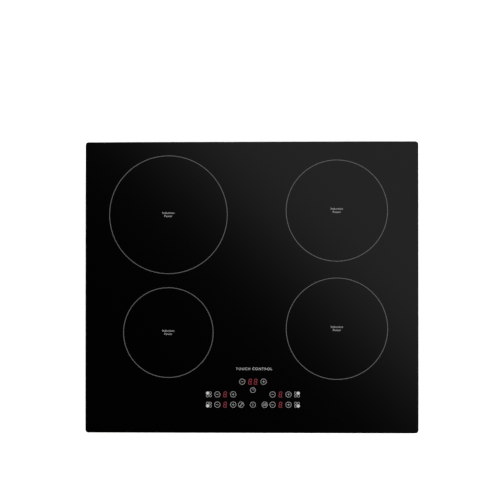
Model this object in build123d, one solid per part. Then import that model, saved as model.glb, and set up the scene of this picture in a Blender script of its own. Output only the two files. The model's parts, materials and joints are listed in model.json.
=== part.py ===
"""Built-in induction hob with four cooking zones, as it comes apart on a bench.

Millimetres, +Z up. The origin is the middle of the underside: the pressed feet stand on z = 0,
the front edge with the touch controls is towards -Y, and the glass is the widest piece.
"""

import os
from collections import namedtuple
from math import cos, radians, sin

from build123d import *

Zone = namedtuple("Zone", "x y coil_r")
Bay = namedtuple("Bay", "x rear front")
Screw = namedtuple("Screw", "head_r head_t shank_r shank_len")
Boxed = namedtuple("Boxed", "w d h dx first_y pitch count")

# ---- Glass and overall height
glass_w = 590.0
glass_d = 516.0
glass_t = 4.0
glass_corner_r = 5.5
glass_edge_bevel = 1.0
hob_h = 62.0

# ---- Pressed tray below the glass
overhang_x = 20.0  # glass past the tray, left and right
overhang_y = 17.0  # glass past the tray, front and rear
sheet_t = 0.8
tray_corner_r = 6.0
bend_r = 1.6
foot_h = 2.0
foot_r = 10.0
foot_inset = 30.0

# ---- Vents in the tray
vent_w = 3.4
vent_h = 20.0
vent_pitch = 9.0
vent_z = 31.0
front_vent_count = 15
side_vent_count = 12
side_vent_y = -60.0
floor_vent_len = 34.0
floor_vent_pitch = 10.0
floor_vent_count = 13
floor_slot_w = 4.2
intake_pitch = 7.5
intake_rib = 5.0

# ---- Rim: bonded angle frame and foam seal
frame_flange = 7.5
frame_leg_h = 8.0
bond_t = 1.2
bond_w = 6.0
seal_t = 3.0
seal_w = 7.0
seal_inset = 1.5
fit_gap = 0.2  # clearance between pieces that slot together
thread_gap = 0.05  # screw's shank to the hole it threads into
screw_clearance = 0.55  # screw's shank to a plain hole it passes through
frame_screw = Screw(3.2, 1.8, 1.45, 6.0)
frame_screw_from_clamp = 40.0  # side screws, past the middle of the nearest clamp
frame_screw_share = 0.6  # front and rear screws, as a share of the tray's half width

# ---- Cooking zones: printed ring diameters, and ring centres from the middle of the glass
zone_d = {"rear_left": 210.0, "front_left": 160.0, "rear_right": 180.0, "front_right": 180.0}
zone_y = {"rear_left": 128.7, "front_left": -80.3, "rear_right": 135.6, "front_right": -73.3}
zone_x = {"left": -147.4, "right": 151.1}

# ---- Coil units, measured down from the underside of the glass
coil_inset = 12.0  # ring radius less winding radius
winding_inner_r = 22.0
litz_pitch = 4.0
insulation_t = 3.0
winding_t = 4.3
former_t = 5.0
former_lip = 3.0  # former past the winding
hub_r = 10.0
sensor_stem_r = 3.2
sensor_cap_r = 6.0
sensor_cap_t = 4.0
ferrite_count = 8
ferrite_w = 12.0
ferrite_t = 4.0
plate_t = 1.0
plate_travel = 3.0
lead_r = 1.75
lead_inset = 2.0
lead_clearance = 0.3
lead_angles = {"rear": (-60.0, -53.0), "front": (40.0, 50.0)}

# ---- Bays: one power board and one blower under each pair of coils
touch_band = 84.5  # tray front to the coil plates
plate_rear_gap = 13.0  # coil plates to the tray rear
carrier_rear_gap = 36.0
carrier_margin = 8.0  # posts to the carrier's and the plate's side edges
carrier_t = 2.0
carrier_clearance = 0.2
post_from_board = 12.0  # board's side edge to the posts
post_r = 6.0
spring_len = 14.5
spring_r = 3.8
spring_wire_r = 0.6
spring_turns = 4.5
board_t = 1.6
board_z = 9.0
board_side_margin = 4.5  # last mains tab to the board's side edge
standoff_r = 3.0
standoff_inset = 6.0
carrier_screw = Screw(3.4, 1.5, 1.25, 9.0)
guide_thread_r = 1.5
guide_thread_len = 10.0
guide_head = Screw(4.2, 2.2, 2.0, 0.0)

# ---- Blower
blower_dx = 22.0  # blower axis from the bay's middle line
blower_rear_gap = 65.0  # blower axis to the carrier's rear edge
blower_headroom = 7.5  # blower's roof below the lowest coil plate
blower_wall = 1.5
volute_r = 41.5
volute_step = 2.5
outlet_reach = 60.0
outlet_inner_x = -8.0
inlet_margin = 13.5  # volute's first radius less the inlet's
impeller_side_gap = 3.5
blade_depth = 7.0
blade_count = 28
impeller_gap = 1.3
hub_cup_r = 14.0
hub_wall = 1.5
shaft_r = 1.5
shaft_clearance = 0.05
bearing_r = 3.0
bearing_wall = 1.2

# ---- Power parts
sink_w = 52.0
sink_len = 120.0
sink_base_t = 4.0
sink_headroom = 6.9  # fins below the lowest coil plate
fin_count = 10
fin_t = 1.4
sink_wall_t = 4.0
duct_lip = 2.0
duct_wall = 1.2
transistor_w = 15.8
transistor_t = 5.0
transistor_pitch = 20.0
transistor_count = 4
rectifier_w = 30.0
rectifier_t = 4.6
large_capacitor = Boxed(30.0, 22.0, 26.0, -60.0, 24.0, 32.0, 3)
small_capacitor = Boxed(30.0, 15.0, 20.0, 58.0, 24.0, 28.0, 2)
choke_ring_r = 12.0
choke_core_r = 5.0
choke_dx = 60.0
choke_dy = 47.0  # choke past the board's middle
lead_post_r = 3.4

# ---- Touch controls
control_dx = 1.75  # middle of the control print from the middle of the glass
timer_from_front = 90.2
clock_from_front = 75.5
upper_row_from_front = 68.1
lower_row_from_front = 49.5
timer_key_dx = 19.0
minus_dx = 63.0
digit_dx = 49.0
plus_dx = 35.0
function_dx = 21.0
touch_w = 190.0
touch_h = 62.0
touch_board_drop = 8.4  # board's top below the glass
touch_board_t = 1.6
display_d = 12.0
ribbon_w = 12.0

# ---- Worktop clamps
clamp_y = 150.0
clamp_t = 1.5
clamp_w = 24.0
clamp_reach = 16.8
clamp_low_z = 14.0  # top of the tongue at its lowest
clamp_travel = 13.0
clamp_slot_above = 18.0  # slot's upper end above the tongue's top
clamp_screw_r = 2.0
clamp_slot_play = 0.5
clamp_washer_r = 4.4
clamp_washer_t = 0.6
clamp_screw = Screw(3.6, 1.8, clamp_screw_r - thread_gap, 9.0)

# ---- Mains terminal compartment
terminal_dx = 33.9  # middle of the compartment from the right bay's middle line
terminal_w = 130.0
terminal_box_d = 32.0
terminal_box_floor_z = 4.0
terminal_wall = 2.0
lid_w = 92.0
lid_dx = -14.0
lid_t = 1.8
lid_gap = 0.4
lid_low_z = 8.6
hinge_drop = 4.3  # hinge axis below the compartment's roof
hinge_from_rear = 1.3  # hinge axis inside the tray's rear face
pin_r = 1.0
pin_clearance = 0.08
bush_dx = 48.0
bush_z = 22.0
bush_bore_r = 6.5
pole_count = 5
pole_pitch = 14.0
pole_seat = 9.0  # depth of solid block behind each pole's pocket
pole_screw = Screw(3.4, 2.0, 1.6, 7.5)
wire_gap = 4.0  # blower's side to the first wire
wire_pitch = 4.0
wire_r = 1.3
wire_z = 22.0

# ---- Places worked out from the sizes above
glass_z = hob_h - glass_t
casing_w = glass_w - 2 * overhang_x
casing_d = glass_d - 2 * overhang_y
half_w, half_d = casing_w / 2, casing_d / 2
flange_top_z = glass_z - bond_t
tray_top_z = flange_top_z - sheet_t - fit_gap
frame_half_w = half_w - sheet_t - fit_gap  # outside of the frame's leg
frame_half_d = half_d - sheet_t - fit_gap
frame_screw_z = flange_top_z - frame_leg_h / 2 - sheet_t

insulation_z = glass_z - insulation_t
winding_z = insulation_z - fit_gap - winding_t
former_z = winding_z - former_t
plate_z = former_z - plate_t
headroom_z = plate_z - plate_travel - 1  # highest level for what stands below the plates
post_top_z = plate_z - spring_len


def bay_of(side):
    """The bay of one side, with the centre and winding radius of both its zones."""
    x = zone_x[side]
    names = (f"rear_{side}", f"front_{side}")
    return Bay(x, *(Zone(x, zone_y[name], zone_d[name] / 2 - coil_inset) for name in names))


bays = {side: bay_of(side) for side in zone_x}

wires_dx = blower_dx + volute_r + wire_gap  # first mains wire, from the bay's middle line
board_w = 2 * (wires_dx + 2 * wire_pitch + board_side_margin)
post_dx = board_w / 2 + post_from_board
carrier_w = plate_w = 2 * (post_dx + carrier_margin)

plate_front_y = -half_d + touch_band
plate_rear_y = half_d - plate_rear_gap
carrier_front_y = plate_front_y - 6
carrier_rear_y = half_d - carrier_rear_gap
carrier_z = foot_h + sheet_t + carrier_clearance
carrier_top_z = carrier_z + carrier_t
post_ys = (plate_front_y + 11.5, carrier_rear_y - 10)
blower_y = carrier_rear_y - blower_rear_gap
board_front_y = plate_front_y + 6.5
board_rear_y = blower_y - outlet_reach - 1
board_middle_y = (board_front_y + board_rear_y) / 2
board_top_z = board_z + board_t
blower_top_z = headroom_z - blower_headroom
blower_roof_z = blower_top_z - blower_wall
inlet_r = volute_r - inlet_margin
impeller_r = volute_r - impeller_side_gap
impeller_low_z = carrier_top_z + blower_wall + impeller_gap
impeller_high_z = blower_roof_z - impeller_gap
hub_floor_z = impeller_low_z + 5
bearing_tube_low_z = hub_floor_z + hub_wall + 0.8
outlet_dx = blower_dx + (outlet_inner_x - volute_step - volute_r - 2 * volute_step) / 2
sink_rear_y = blower_y - outlet_reach - 6
sink_front_y = sink_rear_y - sink_len
sink_top_z = headroom_z - sink_headroom
control_y = -glass_d / 2
touch_y = control_y + (timer_from_front + lower_row_from_front) / 2 - 2.85
touch_board_z = glass_z - touch_board_drop - touch_board_t
lead_foot_z = board_top_z + 5.4
clamp_screw_z = clamp_low_z + clamp_slot_above
terminal_x = zone_x["right"] + terminal_dx
terminal_box_top_z = headroom_z
hinge_z = terminal_box_top_z - hinge_drop
terminal_rear_y = half_d - sheet_t - fit_gap
terminal_front_y = terminal_rear_y - terminal_box_d
hinge_y = half_d - hinge_from_rear
pole_back_y = terminal_front_y + terminal_wall
pole_z = terminal_box_floor_z + terminal_wall + 15
pole_xs = [terminal_x - 50 + (i + 0.5) * pole_pitch for i in range(pole_count)]
wire_ys = [terminal_front_y + 6 + 3.2 * i for i in range(3)]
wire_xs = [zone_x["right"] + wires_dx + wire_pitch * i for i in range(3)]
ribbon_x = control_dx + touch_w / 2 - 16.75
ribbon_top_y = touch_y + 18
header_y = board_front_y + 7
tab_y = board_rear_y - 25
tab_top_z = board_top_z + 7.4


# ---- Small shape helpers
def slab(w, d, r, low, high, x=0.0, y=0.0):
    """Upright prism with rounded corners."""
    return extrude(Pos(x, y, low) * RectangleRounded(w, d, r), high - low)


def block(x0, x1, y0, y1, z0, z1):
    """Plain box between two corners."""
    return Pos((x0 + x1) / 2, (y0 + y1) / 2, (z0 + z1) / 2) * Box(x1 - x0, y1 - y0, z1 - z0)


def rod(x, y, r, low, high):
    """Upright round bar."""
    return Pos(x, y, (low + high) / 2) * Cylinder(r, high - low)


def tube(x, y, outer_r, inner_r, low, high):
    """Upright round tube."""
    return rod(x, y, outer_r, low, high) - rod(x, y, inner_r, low - 1, high + 1)


def rod_x(x0, x1, y, z, r):
    """Round bar along X."""
    return Pos((x0 + x1) / 2, y, z) * Rot(0, 90, 0) * Cylinder(r, x1 - x0)


def rod_y(x, y0, y1, z, r):
    """Round bar along Y."""
    return Pos(x, (y0 + y1) / 2, z) * Rot(90, 0, 0) * Cylinder(r, y1 - y0)


def slot(x, y, length, width, low, high, turn=0.0):
    """Upright round-ended slot, turned about Z."""
    return extrude(Pos(x, y, low) * Rot(0, 0, turn) * SlotOverall(length, width), high - low)


def tall_slot(length, width, depth):
    """Round-ended slot standing along Z and cutting along Y, at the origin."""
    return extrude(Plane.XZ.offset(-depth / 2) * Rot(0, 0, 90) * SlotOverall(length, width), depth)


def lower_edges(shape):
    return shape.faces().sort_by(Axis.Z)[0].edges()


def upper_edges(shape):
    return shape.faces().sort_by(Axis.Z)[-1].edges()


def spring(x, y, low, high, mean_r, wire_r, turns):
    """Round-wire compression spring that fills the height from low to high."""
    rise = high - low - 2 * wire_r
    path = Helix(pitch=rise / turns, height=rise, radius=mean_r)
    coil = sweep(Plane(origin=path @ 0, z_dir=path % 0) * Circle(wire_r), path, is_frenet=True)
    return Pos(x, y, low + wire_r) * coil


def pan_screw(size):
    """Pan-head screw at the origin: head above z = 0, cross recess, shank below."""
    head = rod(0, 0, size.head_r, 0, size.head_t)
    head = fillet(upper_edges(head), size.head_t * 0.45)
    reach, width = size.head_r, size.head_r * 0.28
    recess = Box(reach, width, size.head_t) + Box(width, reach, size.head_t)
    head -= Pos(0, 0, size.head_t) * recess
    return head + rod(0, 0, size.shank_r, -size.shank_len, 0)


def group(pieces):
    """Separate solids kept together in one node."""
    return Compound(children=[s for piece in pieces for s in piece.solids()])


# ---- Glass and rim
def glass_top():
    plate = slab(glass_w, glass_d, glass_corner_r, glass_z, hob_h)
    plate = chamfer(upper_edges(plate), glass_edge_bevel)
    return chamfer(lower_edges(plate), glass_edge_bevel / 2)


def glass_frame():
    """Angle-section frame: a flange bonded under the glass and a leg inside the tray's walls."""
    leg_w, leg_d = 2 * frame_half_w, 2 * frame_half_d
    corner_r = tray_corner_r - sheet_t - fit_gap
    flange = slab(
        casing_w + 2 * frame_flange, casing_d + 2 * frame_flange, tray_corner_r,
        flange_top_z - sheet_t, flange_top_z,
    )
    leg = slab(leg_w, leg_d, corner_r, flange_top_z - frame_leg_h, flange_top_z)
    opening = slab(
        leg_w - 2 * sheet_t, leg_d - 2 * sheet_t, corner_r - sheet_t,
        flange_top_z - frame_leg_h - 1, flange_top_z + 1,
    )
    pilot_r = frame_screw.shank_r + thread_gap
    pilots = [frame_pilot(place, pilot_r, 6) for place in frame_screw_places()]
    return flange + leg - opening - pilots


def frame_screw_places():
    """Where the tray's walls are screwed to the frame: a point on the wall and its outward turn."""
    side_y, front_x = clamp_y + frame_screw_from_clamp, half_w * frame_screw_share
    places = [(side * half_w, y, 90 * side) for side in (-1, 1) for y in (-side_y, 0, side_y)]
    places += [(x, -half_d, 0) for x in (-front_x, 0, front_x)]
    places += [(x, half_d, 180) for x in (-front_x, 0, front_x)]
    return places


def outward(place):
    """Location on a wall whose local +Z points out of the tray."""
    x, y, turn = place
    return Pos(x, y, frame_screw_z) * Rot(0, 0, turn) * Rot(90, 0, 0)


def frame_pilot(place, r, depth):
    return outward(place) * Cylinder(r, 2 * depth)


def frame_screws():
    screw = pan_screw(frame_screw)
    return group([outward(place) * screw for place in frame_screw_places()])


def frame_bond():
    """Silicone bead between the frame's flange and the glass."""
    out_w = casing_w + 2 * frame_flange - 1.5
    out_d = casing_d + 2 * frame_flange - 1.5
    bead = slab(out_w, out_d, tray_corner_r, flange_top_z, glass_z)
    return bead - slab(
        out_w - 2 * bond_w, out_d - 2 * bond_w, tray_corner_r / 2, flange_top_z - 1, glass_z + 1
    )


def rim_seal():
    """Foam strip under the glass, which rests on the worktop round the cut-out."""
    out_w, out_d = glass_w - 2 * seal_inset, glass_d - 2 * seal_inset
    strip = slab(out_w, out_d, glass_corner_r - 1, glass_z - seal_t, glass_z)
    return strip - slab(
        out_w - 2 * seal_w, out_d - 2 * seal_w, 2.0, glass_z - seal_t - 1, glass_z + 1
    )


# ---- Tray
def intake_slots(x, y):
    """Rows of slots that fill a circle under a blower's inlet."""
    rows = int(inlet_r // intake_pitch)
    cuts = []
    for row in range(-rows, rows + 1):
        row_y = row * intake_pitch
        length = (inlet_r**2 - row_y**2) ** 0.5 - intake_rib / 2
        for side in (-1, 1):
            if length > 2 * floor_slot_w:
                centre = x + side * (intake_rib + length) / 2
                cuts.append(slot(centre, y + row_y, length, floor_slot_w, 0, 4))
    return cuts


def side_vents():
    """Tall outlet slots in the front wall and in both side walls."""
    cutter = tall_slot(vent_h, vent_w, 6)
    cuts = []
    for bay in bays.values():
        for i in range(front_vent_count):
            x = bay.x + (i - (front_vent_count - 1) / 2) * vent_pitch
            cuts.append(Pos(x, -half_d, vent_z) * cutter)
    for side in (-1, 1):
        for i in range(side_vent_count):
            y = side_vent_y + (i - (side_vent_count - 1) / 2) * vent_pitch
            cuts.append(Pos(side * half_w, y, vent_z) * Rot(0, 0, 90) * cutter)
    return cuts


def floor_vents():
    """Outlet slots in the floor below the front of each bay."""
    y = (carrier_front_y - half_d) / 2 - 6
    middle = (floor_vent_count - 1) / 2
    return [
        slot(bay.x + (i - middle) * floor_vent_pitch, y, floor_vent_len, floor_slot_w, 0, 4, 90)
        for bay in bays.values()
        for i in range(floor_vent_count)
    ]


def foot_places():
    x, y = half_w - foot_inset, half_d - foot_inset
    return [(sx * x, sy * y) for sx in (-1, 1) for sy in (-1, 1)]


def post_places(bay):
    return [(bay.x + side * post_dx, y) for side in (-1, 1) for y in post_ys]


def clamp_places():
    """Name, side and Y of each worktop clamp."""
    return [
        (f"clamp_{end}_{side}", sign, y)
        for end, y in (("front", -clamp_y), ("rear", clamp_y))
        for side, sign in (("left", -1), ("right", 1))
    ]


def base_tray():
    """Pressed steel tray: floor, four walls, pressed feet, vents and the terminal opening."""
    outer = slab(casing_w, casing_d, tray_corner_r, foot_h, tray_top_z)
    outer = fillet(lower_edges(outer), bend_r + sheet_t)
    inner = slab(
        casing_w - 2 * sheet_t, casing_d - 2 * sheet_t, tray_corner_r - sheet_t,
        foot_h + sheet_t, tray_top_z + 1,
    )
    tray = outer - fillet(lower_edges(inner), bend_r)
    feet = [Pos(x, y, foot_h / 2) * Cone(foot_r, foot_r + foot_h, foot_h) for x, y in foot_places()]
    hollows = [
        Pos(x, y, sheet_t + foot_h / 2) * Cone(foot_r - 0.7, foot_r + foot_h - 0.7, foot_h + 0.01)
        for x, y in foot_places()
    ]
    cuts = intake_slots(bays["left"].x + blower_dx, blower_y)
    cuts += intake_slots(bays["right"].x + blower_dx, blower_y)
    cuts += side_vents() + floor_vents()
    carrier_hole_r = carrier_screw.shank_r + screw_clearance
    frame_hole_r = frame_screw.shank_r + screw_clearance
    cuts += [
        rod(x, y, carrier_hole_r, 0, 5) for bay in bays.values() for x, y in post_places(bay)
    ]
    cuts += [frame_pilot(place, frame_hole_r, 3) for place in frame_screw_places()]
    cuts += [
        rod_x(sign * half_w - 3, sign * half_w + 3, y, clamp_screw_z, clamp_screw_r)
        for _, sign, y in clamp_places()
    ]
    lid_x = terminal_x + lid_dx
    side_room = lid_w / 2 + 3
    cuts.append(
        block(
            lid_x - side_room, lid_x + side_room, half_d - 3, half_d + 3,
            lid_low_z - 0.6, hinge_z + 2.2,
        )
    )
    cuts.append(rod_y(terminal_x + bush_dx, half_d - 3, half_d + 3, bush_z, bush_bore_r + 2.5))
    return tray + feet - hollows - cuts


# ---- Worktop clamps
def clamp(sign, y):
    """L-shaped clamp at its lowest: slotted leg on the wall, tongue reaching out under the worktop."""
    wall = half_w + fit_gap
    leg_top = clamp_screw_z + 5
    leg = block(wall, wall + clamp_t, -clamp_w / 2, clamp_w / 2, clamp_low_z - clamp_t, leg_top)
    tongue = block(
        wall, wall + clamp_reach, -clamp_w / 2, clamp_w / 2, clamp_low_z - clamp_t, clamp_low_z
    )
    tip = wall + clamp_reach
    lip = block(tip - clamp_t, tip, -clamp_w / 2, clamp_w / 2, clamp_low_z - 4, clamp_low_z)
    width = 2 * clamp_screw_r + clamp_slot_play
    cutter = tall_slot(clamp_travel + width, width, 12)
    opening = Pos(wall, 0, clamp_screw_z - clamp_travel / 2) * Rot(0, 0, 90) * cutter
    bracket = leg + tongue + lip - opening
    inside = bracket.edges().filter_by(Axis.Y).filter_by_position(
        Axis.X, wall + clamp_t - 0.01, wall + clamp_t + 0.01
    ).filter_by_position(Axis.Z, clamp_low_z - 0.01, clamp_low_z + 0.01)
    bracket = fillet(inside, 1.2)
    turn = 0 if sign > 0 else 180
    return Pos(0, y, 0) * Rot(0, 0, turn) * bracket


def clamp_screws():
    """Pan-head screw and washer of each clamp, threaded into the tray's wall."""
    seat = half_w + 2 * fit_gap + clamp_t
    screw = pan_screw(clamp_screw)
    washer = tube(0, 0, clamp_washer_r, clamp_screw_r + 2 * thread_gap, 0, clamp_washer_t)
    pieces = []
    for _, sign, y in clamp_places():
        turn = Rot(0, 0, 0 if sign > 0 else 180)
        at = Pos(0, y, 0) * turn * Pos(seat, 0, clamp_screw_z) * Rot(0, 90, 0)
        pieces += [at * Pos(0, 0, clamp_washer_t) * screw, at * washer]
    return group(pieces)


# ---- Bays
def board_carrier(bay):
    """Moulded carrier: base plate with ribs, board standoffs and the posts of the coil plate."""
    depth = carrier_rear_y - carrier_front_y
    middle_y = (carrier_rear_y + carrier_front_y) / 2
    carrier = slab(carrier_w, depth, 8, carrier_z, carrier_top_z, bay.x, middle_y)
    rim_w, rim_h = 3.0, 3.0
    rim = slab(carrier_w, depth, 8, carrier_top_z, carrier_top_z + rim_h, bay.x, middle_y)
    rim -= slab(
        carrier_w - 2 * rim_w, depth - 2 * rim_w, 5, carrier_z, carrier_top_z + rim_h + 1,
        bay.x, middle_y,
    )
    carrier += rim
    carrier += [rod(x, y, post_r, carrier_top_z, post_top_z) for x, y in post_places(bay)]
    carrier += [rod(x, y, standoff_r, carrier_top_z, board_z) for x, y in standoff_places(bay)]
    cuts = [rod(bay.x + blower_dx, blower_y, inlet_r, 0, 10)]
    pilot_r, thread_r = carrier_screw.shank_r + thread_gap, guide_thread_r + thread_gap
    thread_z = post_top_z - guide_thread_len - 1
    cuts += [rod(x, y, pilot_r, 0, 14) for x, y in post_places(bay)]
    cuts += [rod(x, y, thread_r, thread_z, post_top_z + 1) for x, y in post_places(bay)]
    windows = [
        slab(board_w / 2 - 16, 46, 5, 0, 10, bay.x + side * board_w / 4, y)
        for side in (-1, 1)
        for y in (board_front_y + 50, board_rear_y - 60)
    ]
    return carrier - cuts - windows


def standoff_places(bay):
    dx = board_w / 2 - standoff_inset
    rows = (board_front_y + 8, board_middle_y, board_rear_y - 8)
    return [(bay.x + side * dx, y) for side in (-1, 1) for y in rows]


def carrier_screws():
    """Screws up through the tray's floor into each carrier post."""
    screw = pan_screw(carrier_screw)
    flip = Rot(180, 0, 0)
    return group(
        [Pos(x, y, foot_h) * flip * screw for bay in bays.values() for x, y in post_places(bay)]
    )


def power_board(bay):
    depth = board_rear_y - board_front_y
    return slab(board_w, depth, 2, board_z, board_top_z, bay.x, board_middle_y)


def heat_sink(bay):
    """Extruded heat sink with its length along Y and a thick wall for the transistors."""
    x0 = bay.x + outlet_dx - sink_w / 2
    x1 = x0 + sink_w
    top = sink_top_z
    sink = block(x0, x1, sink_front_y, sink_rear_y, board_top_z, board_top_z + sink_base_t)
    sink += block(x0, x0 + sink_wall_t, sink_front_y, sink_rear_y, board_top_z, top)
    pitch = (sink_w - sink_wall_t - fin_t) / fin_count
    for i in range(1, fin_count + 1):
        x = x0 + sink_wall_t + i * pitch
        sink += block(x, x + fin_t, sink_front_y, sink_rear_y, board_top_z, top - 1)
    return sink


def air_duct(bay):
    """Clip-on cover that keeps the blower's air between the fins."""
    x0 = bay.x + outlet_dx - sink_w / 2 - fit_gap
    x1 = x0 + sink_w + 2 * fit_gap
    top = sink_top_z + fit_gap
    front, rear = sink_front_y - 2, board_rear_y
    cover = block(
        x0 - duct_wall, x1 + duct_wall, front, rear, top - duct_lip, top + duct_wall
    )
    return cover - block(x0, x1, front - 1, rear + 1, top - duct_lip - 1, top)


def power_transistors():
    """Transistors and one bridge rectifier per board, standing against the heat sink's wall."""
    pieces = []
    for bay in bays.values():
        wall_x = bay.x + outlet_dx - sink_w / 2
        for i in range(transistor_count):
            y = sink_front_y + 14 + transistor_pitch * i
            pieces.append(legged(wall_x, y, transistor_w, transistor_t, 3))
        rectifier_y = sink_rear_y - rectifier_w / 2 - 4
        pieces.append(legged(wall_x, rectifier_y, rectifier_w, rectifier_t, 4))
    return group(pieces)


def legged(wall_x, y, width, thickness, legs):
    """Flat semiconductor package with its back on a wall and its legs down to the board."""
    low, high = board_top_z + 2.2, sink_top_z - duct_lip - 0.8
    body = block(wall_x - thickness, wall_x, y - width / 2, y + width / 2, low, high)
    pitch = width / (legs + 0.6)
    for i in range(legs):
        leg_y = y + (i - (legs - 1) / 2) * pitch
        body += block(wall_x - 3.2, wall_x - 2.4, leg_y - 0.6, leg_y + 0.6, board_top_z, low)
    return body


def film_capacitors():
    """Boxed film capacitors: three large ones on the left of each board, two on the right."""
    pieces = []
    for bay in bays.values():
        for size in (large_capacitor, small_capacitor):
            pieces += [boxed(bay, size, i) for i in range(size.count)]
    return group(pieces)


def boxed(bay, size, i):
    y = board_front_y + size.first_y + size.pitch * i
    part = slab(size.w, size.d, 1.5, board_top_z, board_top_z + size.h, bay.x + size.dx, y)
    return fillet(upper_edges(part), 1.0)


def filter_chokes():
    """One ring core choke lying on each board."""
    ring = Torus(choke_ring_r, choke_core_r)
    y, z = board_middle_y + choke_dy, board_top_z + choke_core_r
    return group([Pos(bay.x + choke_dx, y, z) * ring for bay in bays.values()])


def board_terminals():
    """Screw posts of the coil leads, mains tabs and the ribbon header."""
    pieces = []
    for bay in bays.values():
        pieces += [
            rod(x, y, lead_post_r, board_top_z, lead_foot_z) for x, y in lead_places(bay)
        ]
    for x in wire_xs:
        pieces.append(block(x - 0.4, x + 0.4, tab_y - 3, tab_y + 3, board_top_z, tab_top_z))
    half_w_header, half_d_header = ribbon_w / 2 + 2, 3.0
    pieces.append(
        block(
            ribbon_x - half_w_header, ribbon_x + half_w_header, header_y - half_d_header,
            header_y + half_d_header, board_top_z, tab_top_z,
        )
    )
    return group(pieces)


# ---- Blower
def volute(inset):
    """Outline of the blower about its own axis: a spiral of three quarter arcs and its outlet."""
    r, step = volute_r - inset, volute_step
    half = 2**-0.5
    c1, c2, c3 = (0, 0), (-step, 0), (-step, -step)
    r2, r3 = r + step, r + 2 * step
    left = c3[0] - r3
    tongue_x = outlet_inner_x - inset
    end_y = -outlet_reach - (1 if inset else 0)
    arcs = [
        ThreePointArc((0, -r), (c1[0] + r * half, c1[1] - r * half), (r, 0)),
        ThreePointArc((r, 0), (c2[0] + r2 * half, c2[1] + r2 * half), (c2[0], r2)),
        ThreePointArc((c2[0], r2), (c3[0] - r3 * half, c3[1] + r3 * half), (left, c3[1])),
    ]
    outlet = Polyline((left, c3[1]), (left, end_y), (tongue_x, end_y), (tongue_x, -r), (0, -r))
    return make_face(arcs + [outlet])


def fan_housing(bay):
    """Spiral housing with an inlet below, an outlet to the front and a bearing tube inside."""
    low, high = carrier_top_z, blower_top_z
    shell = extrude(Pos(0, 0, low) * volute(0), high - low)
    cavity = extrude(Pos(0, 0, low + blower_wall) * volute(blower_wall), high - low - 2 * blower_wall)
    housing = shell - cavity - rod(0, 0, inlet_r, low - 1, low + blower_wall + 1)
    housing += tube(0, 0, bearing_r + bearing_wall, 0.1, bearing_tube_low_z, blower_roof_z)
    housing -= rod(0, 0, bearing_r, bearing_tube_low_z - 1, blower_roof_z)
    return Pos(bay.x + blower_dx, blower_y, 0) * housing


def fan_impeller(bay):
    """Forward-curved impeller: back plate, hub cup with its hub floor, blades and end ring."""
    low, high = impeller_low_z, impeller_high_z
    back_t, ring_t = 1.2, 1.0
    wheel = tube(0, 0, impeller_r, hub_cup_r - hub_wall, high - back_t, high)
    wheel += tube(0, 0, hub_cup_r, hub_cup_r - hub_wall, hub_floor_z, high)
    wheel += tube(0, 0, hub_cup_r, shaft_r, hub_floor_z, hub_floor_z + hub_wall)
    wheel += tube(0, 0, impeller_r, impeller_r - blade_depth, low, low + ring_t)
    blade = extrude(Pos(0, 0, low) * blade_outline(), high - back_t / 2 - low)
    wheel += [Rot(0, 0, 360 * i / blade_count) * blade for i in range(blade_count)]
    return Pos(bay.x + blower_dx, blower_y, 0) * wheel


def blade_outline():
    """Thin crescent across the blade ring, hollow towards the way it turns."""
    inner_r, outer_r, t = impeller_r - blade_depth + 0.3, impeller_r - 0.3, 0.8
    lean = 4.0
    middle_r = (inner_r + outer_r) / 2
    front = ThreePointArc((inner_r, 0), (middle_r, -1.6), (outer_r, lean - 1.5))
    back = ThreePointArc((inner_r, t), (middle_r, t - 1.6), (outer_r - 0.4, lean - 1.5 + t))
    return make_face([front, Line(front @ 1, back @ 1), back, Line(back @ 0, front @ 0)])


def fan_shaft(bay):
    shaft = rod(bay.x + blower_dx, blower_y, shaft_r, hub_floor_z - 0.5, blower_roof_z - 1)
    return chamfer(upper_edges(shaft), 0.3)


def fan_bearings():
    low, high = bearing_tube_low_z + 0.5, blower_roof_z - 1.5
    return group(
        [
            tube(bay.x + blower_dx, blower_y, bearing_r, shaft_r + shaft_clearance, low, high)
            for bay in bays.values()
        ]
    )


def fan_stators():
    """Four-pole stator pressed on each bearing tube, inside the hub cup."""
    low, high = bearing_tube_low_z + 2, blower_roof_z - 3
    pole = tube(0, 0, 10.6, bearing_r + bearing_wall, low, high)
    notch = block(6.2, 12, -2.2, 2.2, low - 1, high + 1) + tube(0, 0, 9.4, 6.2, low - 1, high + 1)
    keep = block(0, 12, -2.4, 2.4, low - 2, high + 2)
    windings = notch - [Rot(0, 0, 45 + 90 * i) * keep for i in range(4)]
    gaps = [Rot(0, 0, 90 * i) * block(6.2, 12, -1.1, 1.1, low - 1, high + 1) for i in range(4)]
    stator = pole - windings - gaps
    return group(
        [Pos(bay.x + blower_dx, blower_y, 0) * stator for bay in bays.values()]
    )


# ---- Coil units
def lead_places(bay):
    """Where the two leads of each coil come down, under its outermost turn."""
    places = []
    for end, unit in (("rear", bay.rear), ("front", bay.front)):
        r = unit.coil_r - lead_inset
        for angle in lead_angles[end]:
            a = radians(angle)
            places.append((unit.x + r * cos(a), unit.y + r * sin(a)))
    return places


def coil_winding(unit):
    """Flat litz winding: round turns side by side, as one body of revolution."""
    turns = round((unit.coil_r - winding_inner_r) / litz_pitch)
    pitch = (unit.coil_r - winding_inner_r) / turns
    top = winding_z + winding_t
    valley = top - pitch * 0.28
    outline = [Line((winding_inner_r, winding_z), (unit.coil_r, winding_z))]
    outline.append(Line((unit.coil_r, winding_z), (unit.coil_r, valley)))
    for i in reversed(range(turns)):
        x = winding_inner_r + i * pitch
        outline.append(ThreePointArc((x + pitch, valley), (x + pitch / 2, top), (x, valley)))
    outline.append(Line((winding_inner_r, valley), (winding_inner_r, winding_z)))
    face = make_face(Plane.XZ * Curve(outline))
    return Pos(unit.x, unit.y, 0) * revolve(face, Axis.Z)


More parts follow.
